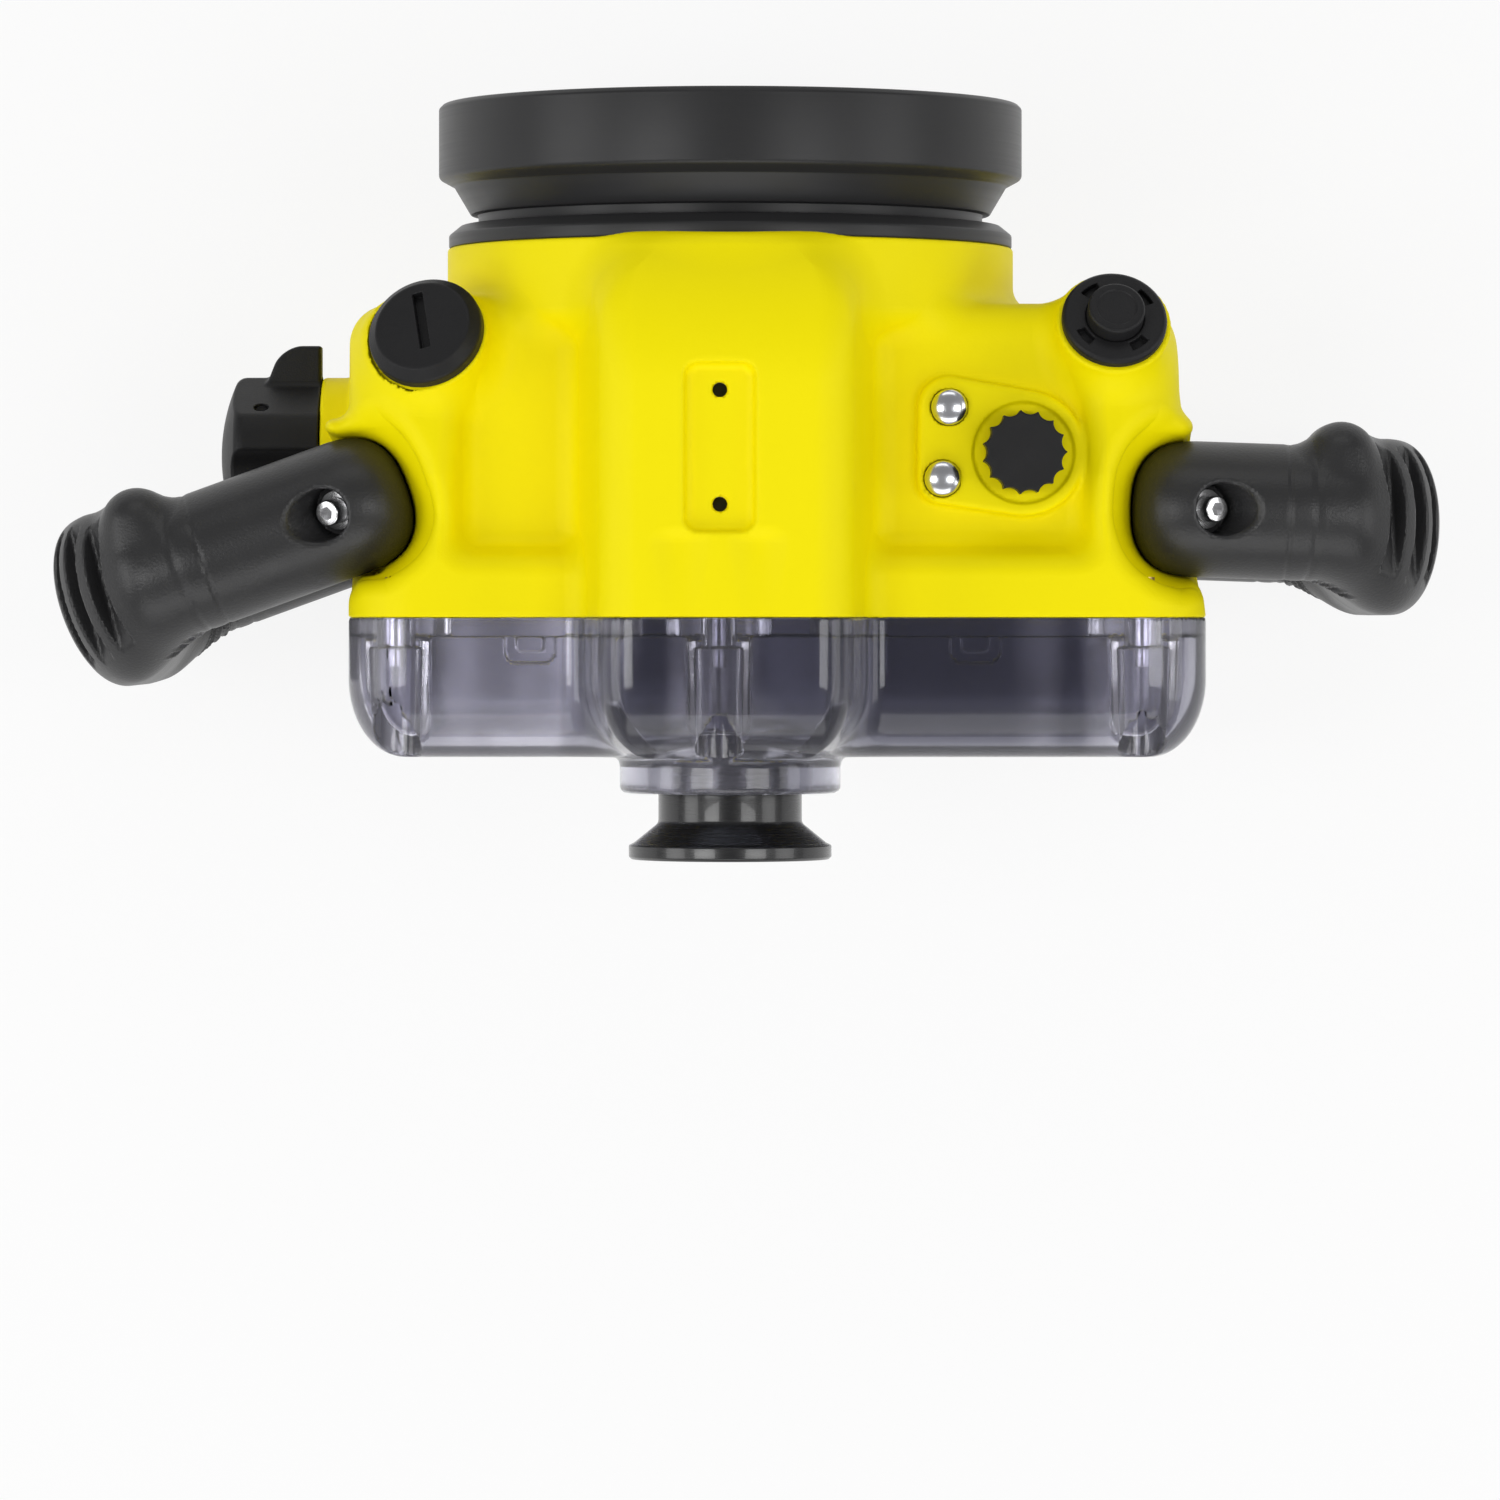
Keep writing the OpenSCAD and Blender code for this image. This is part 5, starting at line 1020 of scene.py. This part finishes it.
def thumb_knob(u, v, w):
    """Large knob: a drum with a domed end, three broad flats, three finger grooves, the hole of a
    set screw, and a fin for the thumb towards the front."""
    r = np.hypot(u, v)
    dome = np.sqrt(r * r + (w + 18.73) ** 2) - 41.53
    drum = meet(meet(r - 18.2, -w, 0.4), dome, 1.6)
    for turn in (0, 120, 240):
        flat, groove = math.radians(turn), math.radians(turn + 48)
        drum = meet(drum, u * math.cos(flat) + v * math.sin(flat) - 15.76, 0.5)
        drum = cut(drum, np.hypot(u - 23.7 * math.cos(groove), v - 23.7 * math.sin(groove)) - 8.0, 0.6)
    out = -v
    fin = meet(meet(out - 25.2, 0.364 * (out - 22.5) + 0.931 * (w - 10.08), 4.5), -w, 0.5)
    fin = meet(np.maximum(fin, 4.0 - out), np.abs(u) - 3.5, 0.9)
    drum = join(drum, fin, 1.0)
    lean = math.radians(221)
    depth = u * math.cos(lean) + v * math.sin(lean)
    hole = np.hypot(v * math.cos(lean) - u * math.sin(lean), w - 13.1) - 1.6
    drum = cut(drum, np.maximum(hole, 15.2 - depth), 0.3)
    return cut(drum, np.maximum(r - 4.02, w - 16.8))


small_skin("coin_slot_plug", coin_plug, PLUG, 14.0, -10.0, 6.0, 0.3, "housing", "black_plastic",
           ("plug_cap",))
small_skin("shutter_ring", bezel, SHUTTER, 12.6, -15.0, 3.5, 0.3, "housing", "black_plastic",
           ("shutter_bezel",))
small_skin("fluted_dial", fluted, (frame_of(), (-65.0, -9.5, 121.8)), 10.4, -0.8, 10.4, 0.22,
           "dial", "black_plastic", ("dial_knob",))
small_skin("zoom_thumb_knob", thumb_knob, ZOOM, 26.4, -1.0, 24.0, 0.45, "zoom", "black_plastic",
           ("zoom_knob",))

PAPER_GLOW = 0.87


def floor_finish():
    """Pale matt paper: lit like paper, and nearly white where the camera, glass or metal sees it."""
    material = bpy.data.materials.new("pale floor")
    material.use_nodes = True
    tree = material.node_tree
    tree.nodes.remove(tree.nodes["Principled BSDF"])
    grain = add(tree, "ShaderNodeTexNoise", Scale=300.0, Detail=2.0,
                Vector=add(tree, "ShaderNodeTexCoord").outputs["Object"]).outputs[0]
    paper = add(tree, "ShaderNodeBsdfDiffuse",
                Color=blend_of(tree, grain, (0.80, 0.80, 0.80, 1), (0.84, 0.84, 0.84, 1)))
    glow = add(tree, "ShaderNodeEmission", Color=(1, 1, 1, 1), Strength=1.0)
    seen = add(tree, "ShaderNodeLightPath")
    looked_at = math_of(tree, "MAXIMUM", seen.outputs["Is Camera Ray"],
                        math_of(tree, "MAXIMUM", seen.outputs["Is Glossy Ray"],
                                seen.outputs["Is Transmission Ray"]))
    share = math_of(tree, "MULTIPLY", looked_at, PAPER_GLOW)
    both = tree.nodes.new("ShaderNodeMixShader")
    tree.links.new(share, both.inputs[0])
    tree.links.new(paper.outputs[0], both.inputs[1])
    tree.links.new(glow.outputs[0], both.inputs[2])
    tree.links.new(both.outputs[0], tree.nodes["Material Output"].inputs["Surface"])
    return material


def make_floor():
    """A level sheet under the base, ten metres wide, its grid of heights all zero."""
    half = 5.0
    steps = np.linspace(-half, half, 9)
    x, y = np.meshgrid(steps, steps, indexing="ij")
    points = np.stack([x, y, np.full_like(x, -0.0002)], axis=-1).reshape(-1, 3)
    index = np.arange(81).reshape(9, 9)
    quads = np.stack([index[:-1, :-1], index[1:, :-1], index[1:, 1:], index[:-1, 1:]], axis=-1)
    mesh = bpy.data.meshes.new("floor")
    mesh.from_pydata(points.tolist(), [], quads.reshape(-1, 4).tolist())
    floor = bpy.data.objects.new("floor", mesh)
    bpy.context.scene.collection.objects.link(floor)
    dress(floor, floor_finish())


# Lamps: name, place (m), width and height (m), watts; all face the middle of the housing
AIM = (0, 0, 0.08)
LAMPS = [
    ("left box", (1.9, 0.1, 1.0), 1.3, 0.9, 11.0),
    ("right box", (-1.9, 0.1, 1.0), 1.3, 0.9, 8.5),
    ("rear box", (0, 1.7, 1.3), 2.4, 1.1, 17.0),
    ("front fill", (0, -2.2, 1.4), 2.0, 0.8, 7.0),
    ("left top box", (1.05, 0.1, 2.0), 0.5, 0.9, 9.5),
    ("right top box", (-1.05, 0.1, 2.0), 0.5, 0.9, 8.0),
]


def soft_box(name, place, width, height, power):
    """A rectangular lamp at place, turned to face the housing."""
    lamp = bpy.data.lights.new(name, "AREA")
    lamp.shape = "RECTANGLE"
    lamp.size = width
    lamp.size_y = height
    lamp.energy = power
    obj = bpy.data.objects.new(name, lamp)
    obj.location = place
    obj.rotation_euler = (Vector(AIM) - Vector(place)).to_track_quat("-Z", "Y").to_euler()
    bpy.context.scene.collection.objects.link(obj)


def make_light():
    """Boxes to left and right and above, wide ones behind and in front, and a plain room."""
    for lamp in LAMPS:
        soft_box(*lamp)
    world = bpy.data.worlds.new("studio")
    world.use_nodes = True
    tree = world.node_tree
    back = tree.nodes["Background"]
    up = add(tree, "ShaderNodeSeparateXYZ", Vector=add(tree, "ShaderNodeTexCoord").outputs["Generated"])
    dome = range_of(tree, up.outputs[2], 0.0, 0.9, 0.36, 0.26)
    seen = add(tree, "ShaderNodeLightPath")
    level = tree.nodes.new("ShaderNodeMix")
    tree.links.new(seen.outputs["Is Camera Ray"], level.inputs[0])
    tree.links.new(dome, level.inputs[2])
    level.inputs[3].default_value = 1.0
    tree.links.new(level.outputs[0], back.inputs["Strength"])
    back.inputs["Color"].default_value = (1, 1, 1, 1)
    bpy.context.scene.world = world


def make_camera():
    """Straight above, the port towards the top of the picture, as in the photograph."""
    camera = bpy.data.cameras.new("camera")
    camera.lens = 178.9
    camera.sensor_width = 36.0
    camera.shift_x = 0.00667
    camera.shift_y = -0.0867
    camera.clip_start = 0.05
    camera.clip_end = 50.0
    obj = bpy.data.objects.new("camera", camera)
    obj.location = (-0.0022, 0.0275, 1.772)
    obj.rotation_euler = (0.0, 0.0, math.pi)
    bpy.context.scene.collection.objects.link(obj)
    bpy.context.scene.camera = obj


make_floor()
make_light()
make_camera()
bpy.context.scene.view_settings.view_transform = "Standard"
